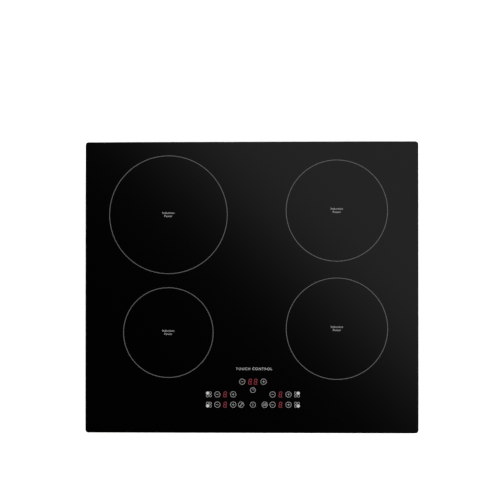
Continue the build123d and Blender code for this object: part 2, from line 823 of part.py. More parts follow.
def ferrite_bar(unit, i, clearance=0.0):
    """One radial ferrite bar, or its pocket when given a clearance."""
    r0, r1 = winding_inner_r + 3 - clearance, unit.coil_r - 3 + clearance
    half = ferrite_w / 2 + clearance
    bar = block(r0, r1, -half, half, former_z - clearance, former_z + ferrite_t + clearance)
    return Pos(unit.x, unit.y, 0) * Rot(0, 0, 360 * (i + 0.5) / ferrite_count) * bar


def coil_former(unit, leads):
    """Moulded former: disc with ferrite pockets, windows, outer lip and a hub for the sensor."""
    outer_r = unit.coil_r + former_lip
    disc = rod(0, 0, outer_r, former_z, winding_z)
    disc += tube(0, 0, outer_r, unit.coil_r + 0.3, winding_z, winding_z + 2.5)
    disc += rod(0, 0, hub_r, winding_z, glass_z - sensor_cap_t - fit_gap)
    disc -= rod(0, 0, sensor_stem_r + 0.3, former_z - 1, glass_z)
    for i in range(ferrite_count):
        angle = 360 * i / ferrite_count
        length = unit.coil_r - winding_inner_r - 22
        middle = winding_inner_r + 14 + length / 2
        disc -= Rot(0, 0, angle) * slot(middle, 0, length, 7, former_z - 1, winding_z + 1)
    disc = Pos(unit.x, unit.y, 0) * disc
    disc -= [ferrite_bar(unit, i, fit_gap) for i in range(ferrite_count)]
    return disc - [rod(x, y, lead_r + lead_clearance, former_z - 1, winding_z + 1) for x, y in leads]


def coil_formers(bay):
    leads = lead_places(bay)
    return group([coil_former(bay.rear, leads[:2]), coil_former(bay.front, leads[2:])])


def ferrite_bars(bay):
    return group(
        [ferrite_bar(unit, i) for unit in (bay.rear, bay.front) for i in range(ferrite_count)]
    )


def insulation_discs(bay):
    """Mica and fibre disc between each winding and the glass."""
    return group(
        [
            tube(u.x, u.y, u.coil_r + former_lip, sensor_cap_r + 2, insulation_z, glass_z)
            for u in (bay.rear, bay.front)
        ]
    )


def temperature_sensors(bay):
    """Sensor with a silicone cap that presses on the glass in the middle of each coil."""
    pieces = []
    for unit in (bay.rear, bay.front):
        cap = rod(unit.x, unit.y, sensor_cap_r, glass_z - sensor_cap_t, glass_z)
        cap = fillet(upper_edges(cap), 0.8)
        pieces.append(cap + rod(unit.x, unit.y, sensor_stem_r, former_z, glass_z - sensor_cap_t))
    return group(pieces)


def coil_plate(bay):
    """Aluminium plate that carries two coils and slides on its four guide screws."""
    depth = plate_rear_y - plate_front_y
    middle_y = (plate_rear_y + plate_front_y) / 2
    plate = slab(plate_w, depth, 10, plate_z, former_z, bay.x, middle_y)
    hole_r = guide_head.shank_r + 2 * fit_gap
    cuts = [rod(x, y, hole_r, plate_z - 1, former_z + 1) for x, y in post_places(bay)]
    cuts += [rod(x, y, lead_r + 1.2, plate_z - 1, former_z + 1) for x, y in lead_places(bay)]
    for unit in (bay.rear, bay.front):
        cuts.append(rod(unit.x, unit.y, sensor_stem_r + 1, plate_z - 1, former_z + 1))
        for angle in (0, 90, 180, 270):
            place = Pos(unit.x, unit.y, 0) * Rot(0, 0, angle + 22.5)
            length = unit.coil_r - winding_inner_r - 20
            middle = winding_inner_r + 12 + length / 2
            cuts.append(place * slot(middle, 0, length, 5, plate_z - 1, former_z + 1))
    return plate - cuts


def plate_springs(bay):
    return group(
        [
            spring(x, y, post_top_z, plate_z, spring_r, spring_wire_r, spring_turns)
            for x, y in post_places(bay)
        ]
    )


def plate_guides():
    """Shoulder screw in each post: the plate slides on its shank and stops under its head."""
    head_z = former_z + 0.6
    screw = pan_screw(guide_head._replace(shank_len=head_z - post_top_z))
    thread_z = post_top_z - guide_thread_len
    pieces = []
    for bay in bays.values():
        for x, y in post_places(bay):
            thread = rod(x, y, guide_thread_r, thread_z, post_top_z)
            pieces.append(Pos(x, y, head_z) * screw + thread)
    return group(pieces)


def coil_leads(bay):
    """Litz leads from the board's screw posts up through plate and former to the windings."""
    return group([rod(x, y, lead_r, lead_foot_z, winding_z) for x, y in lead_places(bay)])


# ---- Touch controls
def key_places():
    """Every touch key, as X and Y."""
    timer_y, clock_y = control_y + timer_from_front, control_y + clock_from_front
    keys = [(control_dx - timer_key_dx, timer_y), (control_dx + timer_key_dx, timer_y)]
    keys.append((control_dx, clock_y))
    for row in (upper_row_from_front, lower_row_from_front):
        for dx in (minus_dx, plus_dx):
            keys += [(control_dx + side * dx, control_y + row) for side in (-1, 1)]
    lower_y = control_y + lower_row_from_front
    keys += [(control_dx + side * function_dx, lower_y) for side in (-1, 1)]
    return keys + [(control_dx, lower_y)]


def touch_housing():
    """Moulded tray that holds the touch board up to the glass, on four legs."""
    floor_z = touch_board_z - 4
    wall = 1.6
    shell = slab(touch_w, touch_h, 4, floor_z, glass_z - 0.4, control_dx, touch_y)
    shell -= slab(
        touch_w - 2 * wall, touch_h - 2 * wall, 2.4, floor_z + wall, glass_z, control_dx, touch_y
    )
    for side in (-1, 1):
        x = control_dx + side * (touch_w / 2 - 6)
        for y in (touch_y - touch_h / 2 + 6, touch_y + touch_h / 2 - 26):
            shell += rod(x, y, 4, foot_h + sheet_t, floor_z)
            shell += rod(x, y, 2.5, floor_z + wall, touch_board_z)
    return shell - block(
        ribbon_x - ribbon_w / 2 - 2, ribbon_x + ribbon_w / 2 + 2, ribbon_top_y - 3,
        ribbon_top_y + 3, floor_z - 1, floor_z + 2,
    )


def touch_board():
    w, h = touch_w - 4, touch_h - 4
    return slab(w, h, 2, touch_board_z, touch_board_z + touch_board_t, control_dx, touch_y)


def touch_springs():
    """Contact spring under each key, from the touch board to the glass."""
    low = touch_board_z + touch_board_t
    return group([spring(x, y, low, glass_z, 3.0, 0.35, 5) for x, y in key_places()])


def led_displays():
    """A two-digit display for the timer and a single digit for each zone."""
    low = touch_board_z + touch_board_t
    timer_y = control_y + timer_from_front
    pieces = [slab(19.5, display_d, 0.6, low, glass_z - 0.4, control_dx, timer_y)]
    for row in (upper_row_from_front, lower_row_from_front):
        for side in (-1, 1):
            x = control_dx + side * digit_dx
            pieces.append(slab(8.5, display_d, 0.6, low, glass_z - 0.4, x, control_y + row))
    return group(pieces)


def ribbon_cable():
    """Flat cable from the touch board down to the header of the right-hand board."""
    mid_z = (touch_board_z + tab_top_z) / 2 - 6
    path = FilletPolyline(
        (ribbon_x, ribbon_top_y, touch_board_z), (ribbon_x, ribbon_top_y, mid_z),
        (ribbon_x, header_y, mid_z), (ribbon_x, header_y, tab_top_z), radius=4.0,
    )
    section = Plane(origin=path @ 0, z_dir=path % 0, x_dir=(1, 0, 0)) * Rectangle(ribbon_w, 0.9)
    return sweep(section, path)


# ---- Mains terminal compartment
def terminal_box():
    """Moulded box behind the rear wall, open to the rear, with two hinge ears."""
    x0, x1 = terminal_x - terminal_w / 2, terminal_x + terminal_w / 2
    box = block(
        x0, x1, terminal_front_y, terminal_rear_y, terminal_box_floor_z, terminal_box_top_z
    )
    box -= block(
        x0 + terminal_wall, x1 - terminal_wall, terminal_front_y + terminal_wall,
        terminal_rear_y + 1, terminal_box_floor_z + terminal_wall,
        terminal_box_top_z - terminal_wall,
    )
    lid_x = terminal_x + lid_dx
    for side in (-1, 1):
        inner = lid_x + side * (lid_w / 2 + lid_gap)
        outer = inner + side * 2.2
        ear = block(
            min(inner, outer), max(inner, outer), hinge_y - 3.2, half_d, hinge_z - 1.9,
            hinge_z + 1.9,
        )
        web = block(
            min(inner, outer), max(inner, outer), hinge_y - 3.2, terminal_rear_y,
            hinge_z - 1.9, terminal_box_top_z - terminal_wall,
        )
        bore = rod_x(min(inner, outer) - 1, max(inner, outer) + 1, hinge_y, hinge_z,
                     pin_r + pin_clearance)
        box += ear + web
        box -= bore
    wire_window = block(
        wire_xs[0] - 3, wire_xs[-1] + 3, terminal_front_y - 1,
        terminal_front_y + terminal_wall + 1, wire_z - 3, wire_z + 3,
    )
    return box - wire_window


def terminal_lid():
    """Hinged lid of the compartment, closed: plate, hinge barrel, pins and a thumb ridge."""
    lid_x = terminal_x + lid_dx
    x0, x1 = lid_x - lid_w / 2, lid_x + lid_w / 2
    barrel_r = 1.5
    outer_y = hinge_y + barrel_r - 0.1
    lid = block(x0, x1, outer_y - lid_t, outer_y, lid_low_z, hinge_z)
    lid += rod_x(x0, x1, hinge_y, hinge_z, barrel_r)
    lid += rod_x(x0 - lid_gap - 1.8, x1 + lid_gap + 1.8, hinge_y, hinge_z, pin_r)
    lid += block(lid_x - 12, lid_x + 12, outer_y, outer_y + 1.0, lid_low_z + 1.5, lid_low_z + 3)
    inner_y = outer_y - lid_t
    for x in (lid_x - 30, lid_x + 30):
        lid += block(x - 0.8, x + 0.8, inner_y - 1.5, inner_y, lid_low_z + 4, hinge_z - 4)
    return lid


def terminal_block():
    """Five-pole terminal block with its pockets towards the lid."""
    y0, z0 = pole_back_y, terminal_box_floor_z + terminal_wall
    x0 = pole_xs[0] - pole_pitch / 2
    seat_y = y0 + pole_seat
    body = block(x0, x0 + pole_count * pole_pitch, y0, y0 + 14, z0, z0 + 24)
    for x in pole_xs:
        body -= block(x - 5.2, x + 5.2, seat_y, y0 + 15, z0 + 3, z0 + 25)
        body -= rod_y(x, y0 + 2, seat_y + 1, pole_z, pole_screw.shank_r + thread_gap)
    return body


def terminal_screws():
    """Clamping screw and its square washer in each pole."""
    washer_t, half = 0.8, 4.4
    y = pole_back_y + pole_seat
    screw = Rot(-90, 0, 0) * pan_screw(pole_screw)
    pieces = []
    for x in pole_xs:
        washer = block(x - half, x + half, y, y + washer_t, pole_z - half, pole_z + half)
        bore_r = pole_screw.shank_r + 2 * thread_gap
        pieces.append(washer - rod_y(x, y - 1, y + 2, pole_z, bore_r))
        pieces.append(Pos(x, y + washer_t, pole_z) * screw)
    return group(pieces)


def cable_bush():
    """Snap-in bush that the mains cable comes in through."""
    x = terminal_x + bush_dx
    outer_r = bush_bore_r + 2.3
    bush = rod_y(x, half_d - 15, half_d, bush_z, outer_r)
    bush += rod_y(x, half_d, half_d + 2.2, bush_z, outer_r + 2.4)
    bush = fillet(bush.edges().filter_by(GeomType.CIRCLE).sort_by(Axis.Y)[-1], 1.0)
    for turn in (0, 90, 180, 270):
        snap = Rot(0, turn, 0) * block(
            outer_r - 0.5, outer_r + 0.8, half_d - 4, half_d - sheet_t - 0.1, -2.5, 2.5
        )
        bush += Pos(x, 0, bush_z) * snap
    return bush - rod_y(x, half_d - 16, half_d + 4, bush_z, bush_bore_r)


def mains_wires():
    """Three insulated wires from the terminal block to the tabs of the right-hand board."""
    start_x = pole_xs[-1] + pole_pitch / 2
    pieces = []
    for x, y in zip(wire_xs, wire_ys):
        path = FilletPolyline(
            (start_x, y, wire_z), (x, y, wire_z), (x, tab_y, wire_z),
            (x, tab_y, tab_top_z), radius=3 * wire_r,
        )
        section = Plane(origin=path @ 0, z_dir=path % 0) * Circle(wire_r)
        pieces.append(sweep(section, path))
    return group(pieces)


def build():
    """Every sub-part by node name."""
    parts = {
        "glass_top": glass_top(),
        "glass_frame": glass_frame(),
        "frame_bond": frame_bond(),
        "rim_seal": rim_seal(),
        "frame_screws": frame_screws(),
        "base_tray": base_tray(),
        "clamp_screws": clamp_screws(),
        "carrier_screws": carrier_screws(),
        "heat_sinks": group([heat_sink(bay) for bay in bays.values()]),
        "air_ducts": group([air_duct(bay) for bay in bays.values()]),
        "power_transistors": power_transistors(),
        "film_capacitors": film_capacitors(),
        "filter_chokes": filter_chokes(),
        "board_terminals": board_terminals(),
        "fan_bearings": fan_bearings(),
        "fan_stators": fan_stators(),
        "plate_guides": plate_guides(),
        "touch_housing": touch_housing(),
        "touch_board": touch_board(),
        "touch_springs": touch_springs(),
        "led_displays": led_displays(),
        "ribbon_cable": ribbon_cable(),
        "terminal_box": terminal_box(),
        "terminal_lid": terminal_lid(),
        "terminal_block": terminal_block(),
        "terminal_screws": terminal_screws(),
        "cable_bush": cable_bush(),
        "mains_wires": mains_wires(),
    }
    for name, sign, y in clamp_places():
        parts[name] = clamp(sign, y)
    for side, bay in bays.items():
        parts[f"board_carrier_{side}"] = board_carrier(bay)
        parts[f"power_board_{side}"] = power_board(bay)
        parts[f"fan_housing_{side}"] = fan_housing(bay)
        parts[f"fan_impeller_{side}"] = fan_impeller(bay)
        parts[f"fan_shaft_{side}"] = fan_shaft(bay)
        parts[f"coil_plate_{side}"] = coil_plate(bay)
        parts[f"plate_springs_{side}"] = plate_springs(bay)
        parts[f"coil_winding_rear_{side}"] = coil_winding(bay.rear)
        parts[f"coil_winding_front_{side}"] = coil_winding(bay.front)
        parts[f"coil_formers_{side}"] = coil_formers(bay)
        parts[f"ferrite_bars_{side}"] = ferrite_bars(bay)
        parts[f"insulation_discs_{side}"] = insulation_discs(bay)
        parts[f"temperature_sensors_{side}"] = temperature_sensors(bay)
        parts[f"coil_leads_{side}"] = coil_leads(bay)
    return parts


os.makedirs("parts", exist_ok=True)
for node, shape in build().items():
    export_step(shape, f"parts/{node}.step")
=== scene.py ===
import json
from math import pi, radians, tan

import bmesh
import bpy
import numpy as np
from mathutils import Matrix, Vector


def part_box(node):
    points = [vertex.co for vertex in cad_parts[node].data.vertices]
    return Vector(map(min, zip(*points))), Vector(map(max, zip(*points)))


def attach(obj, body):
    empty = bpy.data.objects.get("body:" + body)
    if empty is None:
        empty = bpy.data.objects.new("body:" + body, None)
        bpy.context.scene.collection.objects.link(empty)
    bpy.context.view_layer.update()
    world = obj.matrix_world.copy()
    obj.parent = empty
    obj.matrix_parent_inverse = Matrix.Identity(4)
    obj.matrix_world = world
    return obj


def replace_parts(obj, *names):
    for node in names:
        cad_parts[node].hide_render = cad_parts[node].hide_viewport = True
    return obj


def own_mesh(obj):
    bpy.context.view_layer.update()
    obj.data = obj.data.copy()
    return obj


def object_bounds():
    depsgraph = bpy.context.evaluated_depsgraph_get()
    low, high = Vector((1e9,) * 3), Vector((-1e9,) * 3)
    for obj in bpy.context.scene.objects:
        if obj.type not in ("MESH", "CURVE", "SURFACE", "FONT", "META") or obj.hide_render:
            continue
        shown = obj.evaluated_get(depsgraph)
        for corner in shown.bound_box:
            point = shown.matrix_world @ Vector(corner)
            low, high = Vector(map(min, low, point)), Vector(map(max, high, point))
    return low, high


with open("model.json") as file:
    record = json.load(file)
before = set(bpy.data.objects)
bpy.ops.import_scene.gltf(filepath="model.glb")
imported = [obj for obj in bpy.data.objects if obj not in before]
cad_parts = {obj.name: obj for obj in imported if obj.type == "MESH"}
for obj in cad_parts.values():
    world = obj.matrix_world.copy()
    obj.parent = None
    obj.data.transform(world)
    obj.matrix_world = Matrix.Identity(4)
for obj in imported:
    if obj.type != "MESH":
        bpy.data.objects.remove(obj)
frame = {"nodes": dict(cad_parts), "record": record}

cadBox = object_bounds()
mm = 0.001
print("frame loaded:", len(frame["nodes"]), "nodes")


def addObject(name, data):
    made = bpy.data.objects.new(name, data)
    bpy.context.scene.collection.objects.link(made)
    return made


def makePiece(name, verts, faces, material, slot, body="hob", smooth=True):
    # one closed mesh from an array of points and a list of faces, riding on a body
    mesh = bpy.data.meshes.new(name)
    mesh.from_pydata(np.asarray(verts).tolist(), [], [list(map(int, f)) for f in faces])
    mesh.materials.append(material)
    mesh.polygons.foreach_set("use_smooth", np.full(len(mesh.polygons), smooth))
    mesh.update()
    piece = addObject(name, mesh)
    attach(piece, body)
    return piece


def gridFaces(rows, cols, closeRows, closeCols):
    # quads of a grid of points, row by row; a closed direction joins its last line to its first
    r = np.arange(rows if closeRows else rows - 1)
    c = np.arange(cols if closeCols else cols - 1)
    i, j = np.meshgrid(r, c, indexing="ij")
    i2, j2 = (i + 1) % rows, (j + 1) % cols
    quads = np.stack([i * cols + j, i2 * cols + j, i2 * cols + j2, i * cols + j2], axis=-1)
    return quads.reshape(-1, 4)


def joined(parts):
    # several (points, faces) pairs as one pair
    verts, faces, start = [], [], 0
    for points, quads in parts:
        verts.append(points)
        faces += [tuple(int(k) + start for k in f) for f in quads]
        start += len(points)
    return np.concatenate(verts), faces


def stacked(rings):
    # outlines of equally many points, anticlockwise and from the bottom up, skinned and capped
    n = len(rings[0])
    faces = [tuple(f) for f in gridFaces(len(rings), n, False, True)[:, ::-1]]
    faces += [tuple(range(n))[::-1], tuple((len(rings) - 1) * n + k for k in range(n))]
    return np.concatenate(rings), faces


def atHeight(outline, z):
    return np.column_stack([outline, np.full(len(outline), z)])


def tubeAlong(path, radius, sides, outward=(0.0, 0.0, 1.0)):
    # a round tube: each path point carries a circle square to the path's direction, its first
    # axis the outward direction (one for all points or one each) squared up to the path
    ahead = np.empty_like(path)
    ahead[1:-1] = path[2:] - path[:-2]
    ahead[0], ahead[-1] = path[1] - path[0], path[-1] - path[-2]
    ahead /= np.linalg.norm(ahead, axis=1, keepdims=True)
    out = np.broadcast_to(outward, path.shape)
    side = out - np.sum(out * ahead, axis=1, keepdims=True) * ahead
    side /= np.linalg.norm(side, axis=1, keepdims=True)
    top = np.cross(side, ahead)
    turn = np.linspace(0, 2 * pi, sides, endpoint=False)[:, None]
    ring = side[:, None, :] * np.cos(turn) + top[:, None, :] * np.sin(turn)
    verts = (path[:, None, :] + radius * ring).reshape(-1, 3)
    last = (len(path) - 1) * sides
    faces = [tuple(f) for f in gridFaces(len(path), sides, False, True)]
    faces += [tuple(range(sides)), tuple(last + k for k in range(sides))[::-1]]
    return verts, faces


def uvOfGrid(piece, rows, cols, lengthAlong, lengthRound):
    # UV in metres: U along the path, V round it, worked out per corner so the seam doesn't wrap
    mesh = piece.data
    layer = mesh.uv_layers.new(name="run")
    index = np.zeros(len(mesh.loops), np.int32)
    mesh.loops.foreach_get("vertex_index", index)
    row, col = index // cols, index % cols
    starts = np.zeros(len(mesh.polygons), np.int32)
    sizes = np.zeros(len(mesh.polygons), np.int32)
    mesh.polygons.foreach_get("loop_start", starts)
    mesh.polygons.foreach_get("loop_total", sizes)
    owner = np.repeat(np.arange(len(starts)), sizes)
    highest = np.maximum.reduceat(col, starts)[owner]
    wraps = (highest == cols - 1) & (col == 0) & (sizes[owner] == 4)
    lowest = np.minimum.reduceat(col, starts)[owner]
    col = np.where(wraps & (lowest == 0), cols, col)
    uv = np.stack([row / (rows - 1) * lengthAlong, col / cols * lengthRound], axis=-1)
    layer.data.foreach_set("uv", uv.astype(np.float32).ravel())


def softBlock(x, y, low, width, depth, height, corner, bevel):
    # rounded rectangle carried up a profile (inset, height) that turns in at both ends
    inset = [bevel / 2, 0.0, 0.0, bevel * 0.3, bevel]
    level = [low, low + bevel / 2, low + height - bevel, low + height - bevel * 0.3, low + height]
    return stacked(
        [
            atHeight(roundedRect(width - 2 * i, depth - 2 * i, max(corner - i, 0.1 * mm), 5, x, y), z)
            for i, z in zip(inset, level)
        ]
    )


def turned(x, y, profile):
    # body of revolution about an upright axis: profile of (radius, height) from the bottom up
    return stacked([atHeight(disc(x, y, r), z) for r, z in profile])


def annulus(x, y, radius, width, low, high, steps):
    # flat ring: a rectangle of that width and thickness carried round a circle
    turn = np.linspace(0, 2 * pi, steps, endpoint=False)[:, None]
    r = radius + np.array([-0.5, 0.5, 0.5, -0.5]) * width
    z = np.array([low, low, high, high])
    points = np.stack([x + r * np.cos(turn), y + r * np.sin(turn), z + 0 * turn], axis=-1)
    return points.reshape(-1, 3), gridFaces(steps, 4, True, True)


def flatPlate(outline, low, high):
    # thin closed slab over an outline
    return stacked([atHeight(outline, low), atHeight(outline, high)])


def roundedRect(width, depth, radius, perCorner=14, x=0.0, y=0.0):
    # four quarter circles joined by straight runs, anticlockwise
    corners = []
    for quarter, (sx, sy) in enumerate([(1, 1), (-1, 1), (-1, -1), (1, -1)]):
        turn = np.linspace(0, pi / 2, perCorner) + quarter * pi / 2
        corners.append(arc(x + sx * (width / 2 - radius), y + sy * (depth / 2 - radius), radius, turn))
    return np.concatenate(corners)


def arc(x, y, radius, turn):
    return np.column_stack([x + radius * np.cos(turn), y + radius * np.sin(turn)])


def disc(x, y, radius, steps=40):
    return arc(x, y, radius, np.linspace(0, 2 * pi, steps, endpoint=False))


def bar(x0, y0, x1, y1, width, steps=7):
    # straight stroke with round ends
    end = np.linspace(-pi / 2, pi / 2, steps) + np.arctan2(y1 - y0, x1 - x0)
    return np.concatenate([arc(x1, y1, width / 2, end), arc(x0, y0, -width / 2, end)])


def crossShape(x, y, reach, width):
    # plus sign as one outline of twelve corners
    w, r = width / 2, reach
    arm = np.array([(r, -w), (r, w), (w, w)])
    quarters = [arm @ np.array([(c, s), (-s, c)]) for c, s in ((1, 0), (0, 1), (-1, 0), (0, -1))]
    return np.concatenate(quarters) + [x, y]


def arcStroke(x, y, radius, width, start, end, steps=14):
    # part of a ring between two angles in degrees
    turn = np.radians(np.linspace(start, end, steps))
    return np.concatenate([arc(x, y, radius + width / 2, turn), arc(x, y, radius - width / 2, turn)[::-1]])


def feed(tree, node, sockets):
    # gives each named or numbered input a value or another node's output
    for key, value in (sockets or {}).items():
        if isinstance(value, bpy.types.NodeSocket):
            tree.links.new(value, node.inputs[key])
        else:
            node.inputs[key].default_value = value


def put(tree, kind, settings=None, sockets=None):
    # adds a shader node, placed on a rough grid
    made = tree.nodes.new("ShaderNode" + kind)
    made.location = (len(tree.nodes) * 190 - 1600, -(len(tree.nodes) % 4) * 160)
    for key, value in (settings or {}).items():
        setattr(made, key, value)
    feed(tree, made, sockets)
    return made


def maths(tree, operation, a, b=0.0, clamp=False):
    return put(tree, "Math", {"operation": operation, "use_clamp": clamp}, {0: a, 1: b}).outputs[0]


def times(tree, a, b):
    return maths(tree, "MULTIPLY", a, b)


def plus(tree, a, b):
    return maths(tree, "ADD", a, b)


def minus(tree, a, b):
    return maths(tree, "SUBTRACT", a, b)


def remap(tree, value, low, high, toLow=0.0, toHigh=1.0):
    sockets = {"Value": value, "From Min": low, "From Max": high, "To Min": toLow, "To Max": toHigh}
    return put(tree, "MapRange", {"clamp": True}, sockets).outputs[0]


def mixColour(tree, factor, a, b):
    return put(tree, "Mix", {"data_type": "RGBA"}, {0: factor, 6: a, 7: b}).outputs[2]


def ownPlace(tree):
    return put(tree, "TexCoord").outputs["Object"]


def stretched(tree, scale=(1, 1, 1), turn=(0, 0, 0)):
    # Object coordinates, scaled by axis and turned
    return put(tree, "Mapping", None, {0: ownPlace(tree), 2: turn, 3: scale}).outputs[0]


def axisOf(tree, vector, axis):
    return put(tree, "SeparateXYZ", None, {0: vector}).outputs[axis]


def noise(tree, vector, scale, detail=3.0, rough=0.5, output="Fac"):
    sockets = {"Vector": vector, "Scale": scale, "Detail": detail, "Roughness": rough}
    return put(tree, "TexNoise", None, sockets).outputs[output]


def cells(tree, vector, scale, settings=None, randomness=1.0):
    # cell texture, with its outputs Distance and Color
    sockets = {"Vector": vector, "Scale": scale, "Randomness": randomness}
    return put(tree, "TexVoronoi", settings, sockets).outputs


def channel(tree, colour, number):
    return put(tree, "SeparateColor", None, {0: colour}).outputs[number]


def rgb(r, g, b):
    return (r, g, b, 1.0)


def shade(colour, share, lift=0.0):
    return tuple(min(c * share + lift, 1) for c in colour[:3]) + (1.0,)


def makeGroup(name, inputs, outputs, build):
    # shader node group with named inputs and outputs; build fills it and returns its outputs' links
    tree = bpy.data.node_groups.new(name, "ShaderNodeTree")
    for label, value in inputs.items():
        socket = tree.interface.new_socket(label, in_out="INPUT", socket_type="NodeSocketFloat")
        socket.default_value = value
    for label in outputs:
        tree.interface.new_socket(label, in_out="OUTPUT", socket_type="NodeSocketFloat")
    into = tree.nodes.new("NodeGroupInput")
    made = build(tree, into.outputs)
    out = tree.nodes.new("NodeGroupOutput")
    feed(tree, out, dict(zip(outputs, made)))
    return tree


def useGroup(tree, group, *values):
    made = put(tree, "Group", {"node_tree": group})
    feed(tree, made, dict(enumerate(values)))
    return made.outputs


def buildEdgeWearAndSheen(tree, given):
    # 1 - (rounded normal . true normal), broken up by noise: bright on outside edges only; edge wear, and on
    # moulded plastic a painted edge sheen
    rounded = put(tree, "Bevel", {"samples": 4}, {"Radius": given["Width"]}).outputs[0]
    true = put(tree, "NewGeometry").outputs["True Normal"]
    alike = put(tree, "VectorMath", {"operation": "DOT_PRODUCT"}, {0: rounded, 1: true})
    bent = minus(tree, 1.0, alike.outputs["Value"])
    patch = noise(tree, ownPlace(tree), given["Patch Scale"], 4.0)
    wearAndSheen = times(tree, remap(tree, bent, 0.02, 0.25), remap(tree, patch, 0.35, 0.62))
    return [maths(tree, "MULTIPLY", wearAndSheen, given["Amount"], clamp=True)]


def buildFineGrain(tree, given):
    # two noises, one four times finer, added: a value for colour and a height for bump
    place = ownPlace(tree)
    coarse = noise(tree, place, given["Scale"], 2.0)
    fine = noise(tree, place, times(tree, given["Scale"], 4.0), 1.0)
    both = plus(tree, times(tree, coarse, 0.6), times(tree, fine, 0.4))
    spread = times(tree, minus(tree, both, 0.5), given["Strength"])
    return [plus(tree, spread, 0.5), both]


def buildDust(tree, given):
    # upward facing share squared, times a soft noise
    upward = axisOf(tree, put(tree, "NewGeometry").outputs["Normal"], "Z")
    facing = maths(tree, "POWER", maths(tree, "MAXIMUM", upward, 0.0), 2.0)
    cloud = noise(tree, ownPlace(tree), given["Scale"], 5.0)
    settled = times(tree, facing, remap(tree, cloud, 0.35, 0.75))
    return [maths(tree, "MULTIPLY", settled, given["Amount"], clamp=True)]


def buildSpangle(tree, given):
    # crystal cells of zinc: a random value per cell and the dark seam between cells
    place = ownPlace(tree)
    wobble = noise(tree, place, given["Scale"], 2.0, output="Color")
    pull = (0.006, 0.006, 0.006)
    pulled = put(tree, "VectorMath", {"operation": "MULTIPLY_ADD"}, {0: wobble, 1: pull, 2: place}).outputs[0]
    tone = channel(tree, cells(tree, pulled, given["Scale"], {"feature": "F1"})["Color"], 0)
    edge = cells(tree, pulled, given["Scale"], {"feature": "DISTANCE_TO_EDGE"})
    return [tone, remap(tree, edge["Distance"], 0.0, 0.06)]


def buildStrands(tree, given):
    # sine of (run / lay + turn) on the piece's own UV: wires that twist round a cord
    run = put(tree, "SeparateXYZ", None, {0: put(tree, "UVMap").outputs[0]}).outputs
    ahead = maths(tree, "DIVIDE", run["X"], given["Lay"])
    around = times(tree, maths(tree, "DIVIDE", run["Y"], given["Girth"]), given["Wires"])
    phase = times(tree, plus(tree, ahead, around), 2 * pi)
    wave = {0: maths(tree, "SINE", phase), 1: 0.5, 2: 0.5}
    return [put(tree, "Math", {"operation": "MULTIPLY_ADD"}, wave).outputs[0]]


# bright outside edges: edge wear, and on moulded plastic a painted edge sheen
edgeWearAndSheenInputs = {"Width": 0.0006, "Patch Scale": 60.0, "Amount": 1.0}
edgeWearAndSheen = makeGroup("edgeWearAndSheen", edgeWearAndSheenInputs, ["Mask"], buildEdgeWearAndSheen)
fineGrain = makeGroup("fineGrain", {"Scale": 900.0, "Strength": 0.4}, ["Value", "Height"], buildFineGrain)
dustFilm = makeGroup("dustFilm", {"Scale": 14.0, "Amount": 0.3}, ["Mask"], buildDust)
spangle = makeGroup("spangle", {"Scale": 120.0}, ["Tone", "Seam"], buildSpangle)
strands = makeGroup("strands", {"Lay": 0.012, "Girth": 0.012, "Wires": 9.0}, ["Height"], buildStrands)
print("shared effects built")


def startMaterial(name):
    material = bpy.data.materials.new(name)
    material.use_nodes = True
    tree = material.node_tree
    return material, tree, tree.nodes["Principled BSDF"]


def makeFinish(name, build, *values):
    # the material that build describes: the shader's inputs, and a height with its relief in metres
    material, tree, shader = startMaterial(name)
    surface = build(tree, *values)
    if "height" in surface:
        bump = {"Strength": 1.0, "Distance": surface.pop("relief"), "Height": surface.pop("height")}
        surface["Normal"] = put(tree, "Bump", None, bump).outputs[0]
    feed(tree, shader, surface)
    return material


def wornAndSheened(tree, base, bright, width, patch, amount):
    # the base with its outside edges brightened: edge wear, and on moulded plastic a painted edge sheen
    return mixColour(tree, useGroup(tree, edgeWearAndSheen, width, patch, amount)["Mask"], base, bright)


def polishedGlass(tree):
    # near-black base; roughness 0.028 to 0.05 by wiping marks (stretched noise)
    wipes = noise(tree, stretched(tree, (3, 9, 3), (0, 0, 0.4)), 2.0, 5.0, 0.6)
    return {
        "Base Color": rgb(0.0004, 0.0004, 0.0005),
        "IOR": 1.5,
        "Roughness": remap(tree, wipes, 0.4, 0.75, 0.028, 0.05),
        "height": noise(tree, stretched(tree), 9.0, 1.0),
        "relief": 0.00001,
    }


def groundEdge(tree):
    # matt grinding of the glass edge: dark base, fine grain in tone, roughness and bump
    grain = useGroup(tree, fineGrain, 1600.0, 0.8)
    return {
        "Base Color": mixColour(tree, grain["Value"], rgb(0.0008, 0.0008, 0.001), rgb(0.0026, 0.0026, 0.003)),
        "Specular IOR Level": 0.05,
        "Roughness": remap(tree, grain["Value"], 0.2, 0.8, 0.38, 0.55),
        "height": grain["Height"],
        "relief": 0.00004,
    }


def ceramicPrint(tree, colour, screen):
    # fired enamel: base colour mottled by a halftone of tiny cells, matt, slightly raised grain
    dots = remap(tree, cells(tree, stretched(tree, (1, 1, 0)), screen)["Distance"], 0.1, 0.7)
    grain = useGroup(tree, fineGrain, 2500.0, 0.5)
    return {
        "Base Color": mixColour(tree, dots, shade(colour, 1.06), shade(colour, 0.88)),
        "Roughness": remap(tree, grain["Value"], 0.2, 0.8, 0.42, 0.6),
        "height": grain["Height"],
        "relief": 0.000008,
    }


def glowingDigit(tree, colour, strength):
    # lit segment seen through dark glass: red emission, softly uneven, under a glossy skin
    glow = noise(tree, stretched(tree), 420.0, 2.0)
    return {
        "Base Color": rgb(0.02, 0.002, 0.002),
        "Roughness": 0.06,
        "Emission Color": mixColour(tree, glow, shade(colour, 0.8), colour),
        "Emission Strength": strength,
    }


